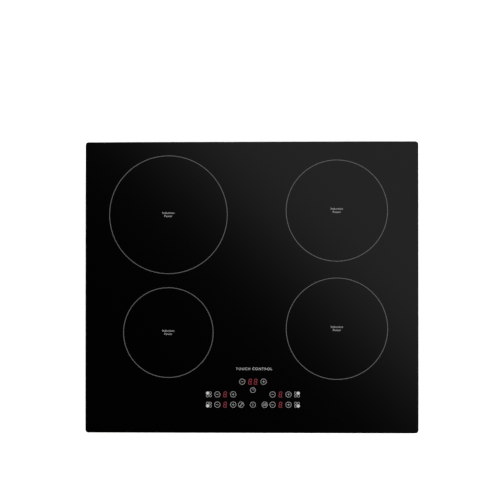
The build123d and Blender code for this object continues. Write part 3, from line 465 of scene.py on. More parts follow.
def zincSheet(tree, tone, cellScale, wear=0.5):
    # hot-dip zinc: grey by crystal cell, seams darker, roughness by cell, rolling lines, bright edges
    crystals = useGroup(tree, spangle, cellScale)
    dark, light = rgb(tone * 0.78, tone * 0.8, tone * 0.83), rgb(tone * 1.08, tone * 1.09, tone * 1.1)
    base = mixColour(tree, crystals["Tone"], dark, light)
    cloud = remap(tree, noise(tree, stretched(tree), 7.0, 4.0), 0.45, 0.8, 0.0, 0.35)
    base = mixColour(tree, cloud, base, rgb(tone * 0.62, tone * 0.62, tone * 0.6))
    seam = times(tree, minus(tree, 1.0, crystals["Seam"]), 0.25)
    base = mixColour(tree, seam, base, rgb(0.25, 0.25, 0.26))
    rolled = noise(tree, stretched(tree, (6, 900, 900)), 1.0, 3.0)
    uneven = plus(tree, times(tree, crystals["Tone"], 0.16), times(tree, rolled, 0.12))
    return {
        "Base Color": wornAndSheened(tree, base, rgb(0.86, 0.86, 0.87), 0.0008, 45.0, wear),
        "Metallic": 1.0,
        "Roughness": plus(tree, uneven, 0.26),
        "height": plus(tree, times(tree, crystals["Seam"], 0.3), times(tree, rolled, 0.5)),
        "relief": 0.00002,
    }


def platedSteel(tree, tint, scale=220.0):
    # bright zinc plating: tint drifts blue to straw over a soft noise, fine drawn lines in roughness
    drift = remap(tree, noise(tree, stretched(tree), 55.0, 3.0), 0.35, 0.65)
    blue = rgb(tint * 0.93, tint * 0.97, tint * 1.02)
    straw = rgb(tint * 1.02, tint * 0.98, tint * 0.86)
    base = mixColour(tree, drift, blue, straw)
    grain = useGroup(tree, fineGrain, scale * 6, 0.8)
    return {
        "Base Color": wornAndSheened(tree, base, rgb(0.9, 0.9, 0.88), 0.0003, 120.0, 0.7),
        "Metallic": 1.0,
        "Roughness": remap(tree, grain["Value"], 0.2, 0.8, 0.2, 0.38),
        "height": grain["Height"],
        "relief": 0.00002,
    }


def rolledAluminium(tree, tone, alongX):
    # mill finish: long rolling lines in roughness and bump, faint cloud in colour, bright edges
    run, cross = 4, 1400
    scale = (run, cross, cross) if alongX else (cross, run, cross)
    lines = noise(tree, stretched(tree, scale), 1.0, 4.0, 0.65)
    cloud = noise(tree, stretched(tree), 16.0, 4.0)
    dull, pale = rgb(tone * 0.9, tone * 0.91, tone * 0.93), rgb(tone * 1.04, tone * 1.04, tone * 1.05)
    base = mixColour(tree, cloud, dull, pale)
    base = mixColour(tree, remap(tree, lines, 0.4, 0.8, 0.0, 0.22), base, rgb(0.4, 0.41, 0.43))
    return {
        "Base Color": wornAndSheened(tree, base, rgb(0.92, 0.92, 0.93), 0.0004, 80.0, 0.8),
        "Metallic": 1.0,
        "Roughness": remap(tree, lines, 0.25, 0.75, 0.24, 0.46),
        "height": lines,
        "relief": 0.00004,
    }


def mouldedPlastic(tree, colour, rough=0.5, grainScale=900.0, relief=0.00005, dust=0.12, cloudTone=0.25):
    # spark-eroded moulding: base colour with a slow cloud, paler edges as a painted edge sheen, dust, fine
    # relief
    cloud = noise(tree, stretched(tree), 22.0, 4.0)
    base = mixColour(tree, cloud, shade(colour, 1 - cloudTone), shade(colour, 1 + cloudTone, 0.002))
    # paler outside edges: a painted edge sheen
    base = wornAndSheened(tree, base, shade(colour, 1.7, 0.03), 0.0005, 70.0, 0.6)
    film = useGroup(tree, dustFilm, 18.0, dust)["Mask"]
    grain = useGroup(tree, fineGrain, grainScale, 0.9)
    return {
        "Base Color": mixColour(tree, film, base, rgb(0.42, 0.4, 0.37)),
        "Roughness": remap(tree, grain["Value"], 0.15, 0.85, rough - 0.07, rough + 0.1),
        "height": grain["Height"],
        "relief": relief,
    }


def foamRubber(tree, colour, cellScale):
    # closed-cell foam: pits from the distance to small cells' middles, tone darker inside the pits as painted
    # shade
    pit = remap(tree, cells(tree, stretched(tree), cellScale)["Distance"], 0.1, 0.55)
    return {
        # darker at the low middles of the pits: painted shade in the pits
        "Base Color": mixColour(tree, pit, colour, shade(colour, 1.5, 0.01)),
        "Roughness": remap(tree, pit, 0.0, 1.0, 0.92, 0.74),
        "height": pit,
        "relief": 0.00025,
    }


def siliconeBead(tree):
    # glossy black bead: slow waves left by the nozzle, thin dust
    film = useGroup(tree, dustFilm, 30.0, 0.2)["Mask"]
    wave = noise(tree, stretched(tree), 160.0, 2.0)
    return {
        "Base Color": mixColour(tree, film, rgb(0.012, 0.012, 0.013), rgb(0.2, 0.19, 0.18)),
        "Roughness": remap(tree, wave, 0.3, 0.7, 0.3, 0.5),
        "height": wave,
        "relief": 0.0003,
    }


def litzWire(tree):
    # enamelled strands twisted round the cord: copper tone by strand, painted shade between strands
    twist = useGroup(tree, strands, 0.011, 0.0118, 9.0)["Height"]
    tone = noise(tree, put(tree, "UVMap").outputs[0], 260.0, 3.0)
    copper = mixColour(tree, tone, rgb(0.46, 0.17, 0.06), rgb(0.72, 0.33, 0.12))
    return {
        # dark where the twist height is low: painted shade between strands
        "Base Color": mixColour(tree, remap(tree, twist, 0.0, 0.45), rgb(0.09, 0.028, 0.012), copper),
        "Metallic": 0.75,
        "Coat Weight": 0.35,
        "Roughness": remap(tree, tone, 0.3, 0.7, 0.25, 0.42),
        "height": twist,
        "relief": 0.00025,
    }


def enamelCopper(tree, low, high):
    # varnished winding wire: warm copper under a clear coat, tone drifting along the coil
    drift = noise(tree, stretched(tree), 130.0, 4.0)
    return {
        "Base Color": mixColour(tree, drift, low, high),
        "Metallic": 0.85,
        "Coat Weight": 0.6,
        "Roughness": remap(tree, drift, 0.3, 0.7, 0.22, 0.36),
        "height": drift,
        "relief": 0.00005,
    }


def sinteredBlack(tree, colour, pitScale):
    # pressed powder: dark grey speckled by cells, open pits in the bump
    specks = cells(tree, stretched(tree), pitScale)
    tone = channel(tree, specks["Color"], 0)
    base = mixColour(tree, remap(tree, tone, 0.5, 1.0, 0.0, 0.6), colour, shade(colour, 1.9, 0.01))
    return {
        "Base Color": wornAndSheened(tree, base, shade(colour, 3, 0.03), 0.0005, 150.0, 0.9),
        "Roughness": remap(tree, tone, 0.0, 1.0, 0.5, 0.75),
        "height": specks["Distance"],
        "relief": 0.00012,
    }


def micaDisc(tree):
    # pressed mica flakes over fibre: pearly flakes by cell, long pale fibres, soft relief
    tone = channel(tree, cells(tree, stretched(tree, (1, 1.6, 1)), 320.0)["Color"], 1)
    base = mixColour(tree, tone, rgb(0.52, 0.46, 0.35), rgb(0.78, 0.73, 0.62))
    fibres = noise(tree, stretched(tree, (900, 40, 400), (0, 0, 0.7)), 1.0, 3.0)
    return {
        "Base Color": mixColour(tree, remap(tree, fibres, 0.58, 0.75), base, rgb(0.88, 0.86, 0.8)),
        "Roughness": remap(tree, tone, 0.0, 1.0, 0.35, 0.7),
        "height": plus(tree, tone, fibres),
        "relief": 0.00006,
    }


def circuitBoard(tree):
    # solder mask over copper: tracks are the borders of square-metric cells, pads are a dot lattice,
    # and the cut edge (faces that look sideways) shows pale glass fibre
    flat = stretched(tree, (1, 1, 0))
    near, far = (
        cells(tree, flat, 95.0, {"distance": "CHEBYCHEV", "feature": feature}, 0.85)["Distance"]
        for feature in ("F1", "F2")
    )
    track = maths(tree, "LESS_THAN", minus(tree, far, near), 0.09)
    lattice = cells(tree, flat, 393.0, None, 0.0)["Distance"]
    area = noise(tree, flat, 60.0, 1.0)
    pad = times(tree, maths(tree, "LESS_THAN", lattice, 0.22), maths(tree, "GREATER_THAN", area, 0.57))
    face = mixColour(tree, track, rgb(0.012, 0.085, 0.04), rgb(0.03, 0.16, 0.07))
    face = mixColour(tree, pad, face, rgb(0.72, 0.7, 0.64))
    upright = maths(tree, "ABSOLUTE", axisOf(tree, put(tree, "NewGeometry").outputs["Normal"], "Z"))
    return {
        "Base Color": mixColour(tree, maths(tree, "LESS_THAN", upright, 0.5), face, rgb(0.55, 0.52, 0.34)),
        "Metallic": pad,
        "Roughness": remap(tree, area, 0.3, 0.7, 0.26, 0.4),
        "height": plus(tree, track, pad),
        "relief": 0.00004,
    }


def ribbonCable(tree, lowX, highX):
    # flat cable of ten cores: ridges by sine across its width, painted shade in the grooves between cores, a
    # red first core
    across = remap(tree, axisOf(tree, ownPlace(tree), "X"), lowX, highX, 0.0, 10.0)
    ridge = maths(tree, "ABSOLUTE", maths(tree, "SINE", times(tree, across, pi)))
    # darker where the ridge is low: painted shade in the grooves between cores
    base = mixColour(tree, remap(tree, ridge, 0.0, 0.4), rgb(0.2, 0.2, 0.2), rgb(0.5, 0.5, 0.49))
    grain = useGroup(tree, fineGrain, 1200.0, 0.6)
    return {
        "Base Color": mixColour(tree, maths(tree, "LESS_THAN", across, 1.0), base, rgb(0.5, 0.03, 0.02)),
        "Roughness": remap(tree, grain["Value"], 0.2, 0.8, 0.38, 0.52),
        "height": ridge,
        "relief": 0.0003,
    }


def mainsSheath(tree, startX, startY, stepX, stepY, stripeZ=0.022):
    # three wires told apart by the larger of (x - start) / step and (y - start) / step: brown,
    # blue, and green that turns yellow above the stripe's height
    place = put(tree, "SeparateXYZ", None, {0: ownPlace(tree)}).outputs
    wireX = maths(tree, "DIVIDE", minus(tree, place["X"], startX), stepX)
    wireY = maths(tree, "DIVIDE", minus(tree, place["Y"], startY), stepY)
    which = maths(tree, "MAXIMUM", wireX, wireY)
    stripe = maths(tree, "GREATER_THAN", minus(tree, place["Z"], stripeZ), 0.0)
    earth = mixColour(tree, stripe, rgb(0.03, 0.2, 0.03), rgb(0.75, 0.55, 0.02))
    second = maths(tree, "GREATER_THAN", which, 0.5)
    pair = mixColour(tree, second, rgb(0.12, 0.045, 0.02), rgb(0.02, 0.12, 0.42))
    grain = useGroup(tree, fineGrain, 800.0, 0.6)
    return {
        "Base Color": mixColour(tree, maths(tree, "GREATER_THAN", which, 1.5), pair, earth),
        "Roughness": remap(tree, grain["Value"], 0.2, 0.8, 0.34, 0.5),
        "height": grain["Height"],
        "relief": 0.00003,
    }


def layeredSteel(tree, sheetsPerMetre=2000.0):
    # stamped laminations: thin dark lines stacked along Z, lacquer sheen between them
    sheet = maths(tree, "FRACT", times(tree, axisOf(tree, ownPlace(tree), "Z"), sheetsPerMetre))
    seam = remap(tree, sheet, 0.0, 0.25)
    drift = noise(tree, stretched(tree), 300.0, 3.0)
    plate = mixColour(tree, drift, rgb(0.2, 0.21, 0.24), rgb(0.36, 0.36, 0.37))
    return {
        "Base Color": mixColour(tree, seam, rgb(0.04, 0.04, 0.045), plate),
        "Metallic": 0.9,
        "Roughness": remap(tree, drift, 0.3, 0.7, 0.35, 0.55),
        "height": seam,
        "relief": 0.00008,
    }


def porousBronze(tree):
    # sintered bronze: warm metal, darker in the pores as painted shade
    depth = remap(tree, cells(tree, stretched(tree), 2600.0)["Distance"], 0.05, 0.45)
    return {
        # dark at the low pore middles: painted shade in the pores
        "Base Color": mixColour(tree, depth, rgb(0.12, 0.07, 0.03), rgb(0.62, 0.43, 0.22)),
        "Metallic": 0.9,
        "Roughness": remap(tree, depth, 0.0, 1.0, 0.6, 0.32),
        "height": depth,
        "relief": 0.00006,
    }


def drawnWire(tree, tone, lines):
    # drawn spring or ground shaft: fine lines round the piece in roughness and bump
    streak = noise(tree, stretched(tree, (60, 60, lines)), 1.0, 4.0, 0.6)
    dark, light = rgb(tone * 0.8, tone * 0.8, tone * 0.82), rgb(tone * 1.08, tone * 1.08, tone * 1.08)
    return {
        "Base Color": mixColour(tree, streak, dark, light),
        "Metallic": 1.0,
        "Roughness": remap(tree, streak, 0.3, 0.7, 0.16, 0.34),
        "height": streak,
        "relief": 0.00002,
    }


def braidSleeve(tree):
    # varnished fibre sleeve: two sets of diagonal threads crossing, darker between the threads as painted
    # shade
    threads = []
    for lean in (0.8, -0.8):
        sockets = {"Vector": stretched(tree, turn=(0, lean, 0)), "Scale": 420.0, "Distortion": 0.4}
        threads.append(put(tree, "TexWave", None, sockets).outputs["Fac"])
    weave = maths(tree, "MAXIMUM", *threads)
    return {
        # dark where the weave is low: painted shade between the threads
        "Base Color": mixColour(tree, weave, rgb(0.11, 0.035, 0.02), rgb(0.42, 0.17, 0.09)),
        "Roughness": remap(tree, weave, 0.0, 1.0, 0.65, 0.4),
        "height": weave,
        "relief": 0.0002,
    }


wireSizes = {"radius": 1.3 * mm, "stepX": 4 * mm, "stepY": 3.2 * mm}
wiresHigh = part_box("mains_wires")[1]
ribbonLow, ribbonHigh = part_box("ribbon_cable")
finishTable = {  # material slot: finish name, function and its values
    "black_glass": ("polishedGlass", polishedGlass),
    "frame_steel": ("frameSteel", zincSheet, 0.44, 190.0),
    "silicone_bond": ("siliconeBead", siliconeBead),
    "foam_seal": ("sealFoam", foamRubber, rgb(0.018, 0.018, 0.019), 1500.0),
    "tray_steel": ("traySteel", zincSheet, 0.42, 130.0, 0.7),
    "clamp_steel": ("clampSteel", platedSteel, 0.55),
    "screw_steel": ("screwSteel", platedSteel, 0.74, 400.0),
    "carrier_plastic": ("carrierPlastic", mouldedPlastic, rgb(0.5, 0.5, 0.47), 0.55, 700.0),
    "housing_plastic": ("touchPlastic", mouldedPlastic, rgb(0.022, 0.022, 0.024), 0.48, 1100.0),
    "blower_plastic": ("blowerPlastic", mouldedPlastic, rgb(0.03, 0.03, 0.033), 0.5, 900.0),
    "impeller_plastic": ("impellerPlastic", mouldedPlastic, rgb(0.05, 0.05, 0.055), 0.42, 1400.0),
    "polished_steel": ("groundSteel", drawnWire, 0.76, 5000.0),
    "bearing_bronze": ("porousBronze", porousBronze),
    "stator_steel": ("layeredSteel", layeredSteel),
    "board_green": ("circuitBoard", circuitBoard),
    "sink_aluminium": ("extrudedAluminium", rolledAluminium, 0.74, False),
    "transistor_black": ("epoxyPackage", mouldedPlastic, rgb(0.016, 0.016, 0.017), 0.42, 1800.0, 3e-5, 0.05),
    "capacitor_case": ("capacitorCase", mouldedPlastic, rgb(0.62, 0.42, 0.03), 0.26, 500.0, 2e-5, 0.05, 0.08),
    "choke_winding": ("chokeWire", enamelCopper, rgb(0.4, 0.13, 0.04), rgb(0.62, 0.24, 0.08)),
    "terminal_metal": ("tinnedBrass", platedSteel, 0.72, 500.0),
    "duct_plastic": ("ductPlastic", mouldedPlastic, rgb(0.04, 0.04, 0.045), 0.45, 800.0),
    "plate_aluminium": ("plateAluminium", rolledAluminium, 0.78, True),
    "litz_copper": ("litzWire", litzWire),
    "former_plastic": ("formerPlastic", mouldedPlastic, rgb(0.66, 0.62, 0.52), 0.6, 600.0, 6e-5, 0.1, 0.12),
    "ferrite": ("ferrite", sinteredBlack, rgb(0.035, 0.035, 0.037), 1800.0),
    "mica": ("micaDisc", micaDisc),
    "sensor_silicone": ("sensorSilicone", mouldedPlastic, rgb(0.42, 0.03, 0.02), 0.55, 700, 4e-5, 0.15, 0.1),
    "spring_steel": ("springSteel", drawnWire, 0.6, 2600.0),
    "lead_sleeve": ("braidSleeve", braidSleeve),
    "display_plastic": ("displayBody", mouldedPlastic, rgb(0.035, 0.01, 0.01), 0.3, 1500.0, 2e-5, 0.05),
    "ribbon_grey": ("ribbonCable", ribbonCable, ribbonLow.x, ribbonHigh.x),
    "terminal_plastic": ("terminalPlastic", mouldedPlastic, rgb(0.03, 0.03, 0.031), 0.46, 750.0, 8e-5),
    "terminal_ivory": ("terminalIvory", mouldedPlastic, rgb(0.7, 0.66, 0.52), 0.42, 600.0, 3e-5, 0.08, 0.1),
    "bush_rubber": ("bushNylon", mouldedPlastic, rgb(0.02, 0.02, 0.02), 0.55, 500.0, 8e-5),
    "wire_insulation": (
        "mainsSheath",
        mainsSheath,
        wiresHigh.x - 2 * wireSizes["stepX"] - wireSizes["radius"],
        wiresHigh.y - 2 * wireSizes["stepY"] - wireSizes["radius"],
        wireSizes["stepX"],
        wireSizes["stepY"],
    ),
}
finishes = {slot: makeFinish(*entry) for slot, entry in finishTable.items()}
for entry in frame["record"]["subparts"]:
    for each in frame["nodes"][entry["node"]].material_slots:
        each.material = finishes[entry["material_slot"]]
print("finishes given to", len(frame["nodes"]), "nodes")

glassSizes = {
    "cornerRadius": 5.5 * mm,
    "arris": 1.0 * mm,  # bevelled ground edge at the top
    "softening": 0.12 * mm,
    "underArris": 0.5 * mm,
    "printRoom": 0.04 * mm,  # from the polished face up to the CAD box, so that the print fits inside
}


def hobGlass(sizes):
    # a profile (inset, height) carried up a rounded rectangle: bevelled lower arris, upright edge,
    # bevelled top arris with softened corners; both faces close it
    low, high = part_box("glass_top")
    width, depth = high.x - low.x, high.y - low.y
    top = high.z - sizes["printRoom"]
    arris, soft, under = sizes["arris"], sizes["softening"], sizes["underArris"]
    inset = [under, soft, 0.0, 0.0, soft, arris - soft, arris]
    rise = [0.0, under - soft, under]
    drop = [arris, arris - soft, soft / 3, 0.0]
    height = [low.z + up for up in rise] + [top - down for down in drop]
    rings = [
        atHeight(roundedRect(width - 2 * i, depth - 2 * i, sizes["cornerRadius"] - i), z)
        for i, z in zip(inset, height)
    ]
    piece = makePiece("hobGlass", *stacked(rings), finishes["black_glass"], "black_glass")
    piece.data.materials.append(makeFinish("groundEdge", groundEdge))
    edge = np.arange(len(piece.data.polygons)) < len(piece.data.polygons) - 2  # all but the two faces
    piece.data.polygons.foreach_set("material_index", edge.astype(np.int32))
    piece.data.polygons.foreach_set("use_smooth", edge)
    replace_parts(piece, "glass_top")
    return top


glassTop = hobGlass(glassSizes)
print("glass made")

inkLow, inkHigh = glassTop - 0.02 * mm, glassTop + 0.03 * mm
ringInk = makeFinish("ringInk", ceramicPrint, rgb(0.1, 0.1, 0.1), 3000.0)
symbolInk = makeFinish("symbolInk", ceramicPrint, rgb(0.27, 0.27, 0.268), 3500.0)
brightInk = makeFinish("brightInk", ceramicPrint, rgb(0.42, 0.42, 0.415), 3500.0)

zones = {  # middle and outer diameter in mm
    "rearLeft": (-147.4, 128.7, 210.0),
    "frontLeft": (-147.4, -80.3, 160.0),
    "rearRight": (151.1, 135.6, 180.0),
    "frontRight": (151.1, -73.3, 180.0),
}
zonePrint = {  # in mm, with the labels' rows measured from the zone's middle
    "ringWidth": 0.9,
    "upperY": 3.3,
    "upperWidth": 21.2,
    "lowerY": -2.4,
    "lowerWidth": 14.0,
    "bold": 0.008,
}


def letters(name, text, x, y, width, material, bold=0.0, spacing=1.12):
    # outline letters as a thin closed mesh, scaled to a width in mm and centred on a place
    curve = bpy.data.curves.new(name, "FONT")
    curve.body, curve.align_x, curve.align_y = text, "CENTER", "CENTER"
    curve.size, curve.offset, curve.space_character = 1.0, bold, spacing
    curve.resolution_u, curve.extrude, curve.fill_mode = 6, 0.5, "BOTH"
    holder = addObject(name + "Curve", curve)
    bpy.context.view_layer.update()
    mesh = bpy.data.meshes.new_from_object(holder)
    bpy.data.objects.remove(holder)
    co = np.zeros(len(mesh.vertices) * 3)
    mesh.vertices.foreach_get("co", co)
    co = co.reshape(-1, 3)
    low, high = co.min(axis=0), co.max(axis=0)
    scale = width * mm / (high[0] - low[0])
    middle = (low + high) / 2
    place = np.array([x * mm, y * mm])
    co[:, :2] = (co[:, :2] - middle[:2]) * scale + place
    co[:, 2] = np.where(co[:, 2] > middle[2], inkHigh, inkLow)
    mesh.vertices.foreach_set("co", co.ravel())
    tidy = bmesh.new()
    tidy.from_mesh(mesh)
    bmesh.ops.remove_doubles(tidy, verts=tidy.verts, dist=0.002 * mm)
    bmesh.ops.recalc_face_normals(tidy, faces=tidy.faces)
    tidy.to_mesh(mesh)
    tidy.free()
    mesh.materials.clear()
    mesh.materials.append(material)
    piece = addObject(name, mesh)
    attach(piece, "hob")


def printed(name, shapes, ink):
    makePiece(name, *joined(shapes), ink, "black_glass", smooth=False)


def printedRing(x, y, radius, width, steps):
    return annulus(x * mm, y * mm, radius * mm, width * mm, inkLow, inkHigh, steps)


for zoneName, (x, y, across) in zones.items():
    width, bold = zonePrint["ringWidth"], zonePrint["bold"]
    printed("ring_" + zoneName, [printedRing(x, y, (across - width) / 2, width, 256)], ringInk)
    for text, row in (("Induction", "upper"), ("Power", "lower")):
        rowY, rowWidth = y + zonePrint[row + "Y"], zonePrint[row + "Width"]
        letters(f"label_{zoneName}_{row}", text, x, rowY, rowWidth, symbolInk, bold)

controls = {  # places and sizes of the keys in mm
    "middle": 2.6,
    "titleX": 4.6,
    "titleY": -144.4,
    "titleWidth": 64.0,
    "timerY": -167.1,
    "clockY": -182.0,
    "upperY": -189.6,
    "lowerY": -207.8,
    "selectorX": 78.0,
    "outerX": 63.0,
    "digitX": 49.0,
    "innerX": 34.8,
    "functionX": 20.9,
    "timerX": 18.9,
    "keyRadius": 4.85,
    "line": 0.66,
}
titlePlace = controls["titleX"], controls["titleY"], controls["titleWidth"]
letters("title", "TOUCH CONTROL", *titlePlace, brightInk, -0.006, 1.25)


def keyRing(x, y, radius=controls["keyRadius"]):
    return printedRing(x, y, radius, controls["line"], 64)


def plates(*outlines):
    return [flatPlate(outline * mm, inkLow, inkHigh) for outline in outlines]


def minusKey(x, y):
    return [keyRing(x, y)] + plates(bar(x - 1.8, y, x + 1.8, y, 0.7))


def plusKey(x, y):
    return [keyRing(x, y)] + plates(crossShape(x, y, 2.0, 0.75))


def clockKey(x, y):
    hands = [bar(x, y + 0.7, x, y + 2.6, 0.7), bar(x + 1.1, y + 0.2, x + 2.3, y + 0.2, 0.6)]
    return [keyRing(x, y, 4.4)] + plates(*hands)


def lockKey(x, y):
    # slanting key: ring bow, shaft and two teeth
    bow = printedRing(x + 1.7, y + 1.7, 1.15, 0.7, 32)
    shaft = bar(x + 0.75, y + 0.75, x - 2.7, y - 2.7, 0.8)
    teeth = [bar(x - 1.6, y - 2.2, x - 1.0, y - 2.8, 0.6), bar(x - 0.3, y - 0.9, x + 0.3, y - 1.5, 0.6)]
    return [keyRing(x, y), bow] + plates(shaft, *teeth)


def powerKey(x, y):
    return [keyRing(x, y, 4.7)] + plates(bar(x, y - 1.8, x, y + 1.8, 0.75))


def pauseKey(x, y):
    bars = [bar(x + s * 1.0, y - 2.0, x + s * 1.0, y + 2.0, 0.8) for s in (-1, 1)]
    sides = [arcStroke(x, y, 3.1, 0.55, a - 45, a + 45) for a in (0, 180)]
    return [keyRing(x, y, 4.9)] + plates(*bars, *sides)


def selector(x, y, litX, litY):
    # rings in three corners of a square; the fourth corner, its own zone, gets a dot
    corners = [(sx, sy) for sx in (-1, 1) for sy in (-1, 1) if (sx, sy) != (litX, litY)]
    return [printedRing(x + sx * 2.55, y + sy * 2.55, 2.0, 0.62, 40) for sx, sy in corners]


centre = controls["middle"]
keyRows = (("Upper", controls["upperY"], 1), ("Lower", controls["lowerY"], -1))
keySides = {  # way from the middle, places of the minus and plus keys, and the timer key on that side
    "left": (-1, "outerX", "innerX", "timerMinus", minusKey),
    "right": (1, "innerX", "outerX", "timerPlus", plusKey),
}
symbols, dots = {}, []
for sideName, (side, minusAt, plusAt, timerName, timerKey) in keySides.items():
    symbols[timerName] = timerKey(centre + side * controls["timerX"], controls["timerY"])
    for rowName, rowY, litY in keyRows:
        key, selectX = sideName + rowName, centre + side * controls["selectorX"]
        symbols[key + "Minus"] = minusKey(centre + side * controls[minusAt], rowY)
        symbols[key + "Plus"] = plusKey(centre + side * controls[plusAt], rowY)
        symbols[key + "Selector"] = selector(selectX, rowY, side, litY)
        dots += plates(disc(selectX + side * 2.2, rowY + litY * 2.2, 2.75))
symbols["clock"] = clockKey(centre, controls["clockY"])
symbols["lock"] = lockKey(centre - controls["functionX"], controls["lowerY"])
symbols["power"] = powerKey(centre, controls["lowerY"])
symbols["pause"] = pauseKey(centre + controls["functionX"], controls["lowerY"])
for symbolName, parts in symbols.items():
    printed("symbol_" + symbolName, parts, symbolInk)
printed("selectorDots", dots, brightInk)
print("print made:", len(symbols), "symbols")

digitSizes = {  # in mm
    "width": 5.3,
    "height": 10.0,
    "line": 0.9,
    "gap": 0.2,
    "slant": radians(9),
    "dot": 0.55,
    "dotGap": 1.15,
}
digitGlow = makeFinish("digitGlow", glowingDigit, rgb(1.0, 0.15, 0.2), 0.31)


def segment(x0, y0, x1, y1, line, gap):
    # long hexagon between two corners, shortened by the gap
    a, b = np.array([x0, y0], float), np.array([x1, y1], float)
    ahead = (b - a) / np.linalg.norm(b - a)
    side = np.array([-ahead[1], ahead[0]]) * line / 2
    a, b = a + ahead * gap, b - ahead * gap
    inner, outer = a + ahead * line / 2, b - ahead * line / 2
    return np.array([a, inner - side, outer - side, b, outer + side, inner + side])


def digit(x, y, sizes):
    # seven segments and a point, sheared to the right
    w, h = sizes["width"] / 2 - sizes["line"] / 2, sizes["height"] / 2 - sizes["line"] / 2
    flat = [(-w, y1, w, y1) for y1 in (h, 0, -h)]
    upright = [(x1, low, x1, low + h) for low in (0, -h) for x1 in (-w, w)]
    shapes = [segment(*run, sizes["line"], sizes["gap"]) for run in flat + upright]
    shapes.append(disc(w + sizes["dotGap"], -h, sizes["dot"], 20))
    made = []
    for shape in shapes:
        shape[:, 0] += np.tan(sizes["slant"]) * shape[:, 1]
        made.append(shape + [x, y])
    return plates(*made)


timerDigits = [digit(centre + offset, controls["timerY"], digitSizes) for offset in (-5.1, 4.8)]
printed("digits_timer", timerDigits[0] + timerDigits[1], digitGlow)
for sideName, side in (("left", -1), ("right", 1)):
    digitX = centre + side * controls["digitX"] - 0.4
    for rowName, rowY, _ in keyRows:
        printed("digit_" + sideName + rowName, digit(digitX, rowY, digitSizes), digitGlow)
print("digits made")

coilSizes = {
    "innerRadius": 22 * mm,
    "pitch": 4 * mm,
    "fill": 0.94,  # cord's diameter as a share of the pitch
    "lift": 0.1 * mm,
    "stepsPerTurn": 84,
    "sides": 8,
}


def spiralWinding(node, body, sizes):
    # flat spiral of litz cord: radius = inner + pitch * (turn + 1/2), all turns touching
    low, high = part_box(node)
    centreX, centreY, outer = (low.x + high.x) / 2, (low.y + high.y) / 2, (high.x - low.x) / 2
    turns = round((outer - sizes["innerRadius"]) / sizes["pitch"])
    pitch = (outer - sizes["innerRadius"]) / turns
    cord = pitch / 2 * sizes["fill"]
    count = (turns - 1) * sizes["stepsPerTurn"] + 1
    turn = np.linspace(0, turns - 1, count)
    r = sizes["innerRadius"] + pitch * (turn + 0.5)
    path = atHeight(arc(centreX, centreY, r, turn * 2 * pi), low.z + cord + sizes["lift"])
    tube = tubeAlong(path, cord, sizes["sides"])
    piece = makePiece("spiral_" + node, *tube, finishes["litz_copper"], "litz_copper", body)
    length = np.linalg.norm(np.diff(path, axis=0), axis=1).sum()
    uvOfGrid(piece, count, sizes["sides"], length, 2 * pi * cord)
    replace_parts(piece, node)


for side in ("left", "right"):
    for end in ("rear", "front"):
        spiralWinding(f"coil_winding_{end}_{side}", f"coils_{side}", coilSizes)
print("coils made")

springSizes = {"wire": 0.6 * mm, "mean": 3.8 * mm, "endTurns": 1.0, "turns": 6.5, "stepsPerTurn": 36}
leadSizes = {"radius": 1.75 * mm, "sway": 1.2 * mm, "swayEnds": 0.75, "steps": 40, "gap": 0.05 * mm}


def springAt(x, y, low, high, sizes):
    # helix whose end turns lie closed: height grows by one wire per turn there, evenly between
    turns, wire, ends = sizes["turns"], sizes["wire"], sizes["endTurns"]
    t = np.linspace(0, turns, int(turns * sizes["stepsPerTurn"]) + 1)
    closed = 2 * wire * ends
    heights = [low + wire, low + wire + closed, high - wire - closed, high - wire]
    z = np.interp(t, [0, ends, turns - ends, turns], heights)
    path = atHeight(arc(x, y, sizes["mean"], 2 * pi * t), 0.0)
    path[:, 2] = z
    return tubeAlong(path, wire, 8, atHeight(arc(0, 0, 1, 2 * pi * t), 0.0))


def leadAt(x, y, low, high, sizes):
    # upright cord that sways to one side and back: offset = sway * sin^2, none at its ends
    t = np.linspace(0, 1, sizes["steps"])
    sway = sizes["sway"] * np.sin(pi * np.clip(t / sizes["swayEnds"], 0, 1)) ** 2
    path = np.column_stack([x + sway, np.full(len(t), y), low + t * (high - low)])
    return tubeAlong(path, sizes["radius"], 12, (0.0, 1.0, 0.0))


def addShortening(name, parts, slot, node):
    # the joined piece stands in for the node, with a mesh of its own
    piece = makePiece(name, *joined(parts), finishes[slot], slot)
    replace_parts(piece, node)
    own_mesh(piece)


def pointsOf(node):
    mesh = frame["nodes"][node].data
    points = np.zeros(len(mesh.vertices) * 3)
    mesh.vertices.foreach_get("co", points)
    return points.reshape(-1, 3)


def standingMiddles(points, reach):
    # upright pieces that stand apart: each one's points are those near the first one not yet taken
    middles = []
    while len(points):
        near = np.linalg.norm(points[:, :2] - points[0, :2], axis=1) < reach
        middles.append((points[near].min(axis=0) + points[near].max(axis=0)) / 2)
        points = points[~near]
    return middles


for side in ("left", "right"):
    low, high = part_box(f"plate_springs_{side}")
    reach = springSizes["mean"] + springSizes["wire"]
    made = [
        springAt(x, y, low.z, high.z, springSizes)
        for x in (low.x + reach, high.x - reach)
        for y in (low.y + reach, high.y - reach)
    ]
    addShortening(f"springs_{side}", made, "spring_steel", f"plate_springs_{side}")
    low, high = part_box(f"coil_leads_{side}")
    middles = standingMiddles(pointsOf(f"coil_leads_{side}"), 2.2 * leadSizes["radius"])
    made = [leadAt(spot[0], spot[1], low.z, high.z - leadSizes["gap"], leadSizes) for spot in middles]
    addShortening(f"leads_{side}", made, "lead_sleeve", f"coil_leads_{side}")
    print("springs and", len(middles), "leads made,", side)

chokeSizes = {
    "core": 3.9 * mm,
    "wire": 0.62 * mm,
    "bite": 0.05 * mm,
    "turnsPerHalf": 15,
    "halfSpan": radians(150),
    "starts": (radians(15), radians(195)),
}
coreColour = rgb(0.05, 0.22, 0.1)
coreFinish = makeFinish("coreEpoxy", mouldedPlastic, coreColour, 0.4, 900.0, 0.00003, 0.08, 0.15)


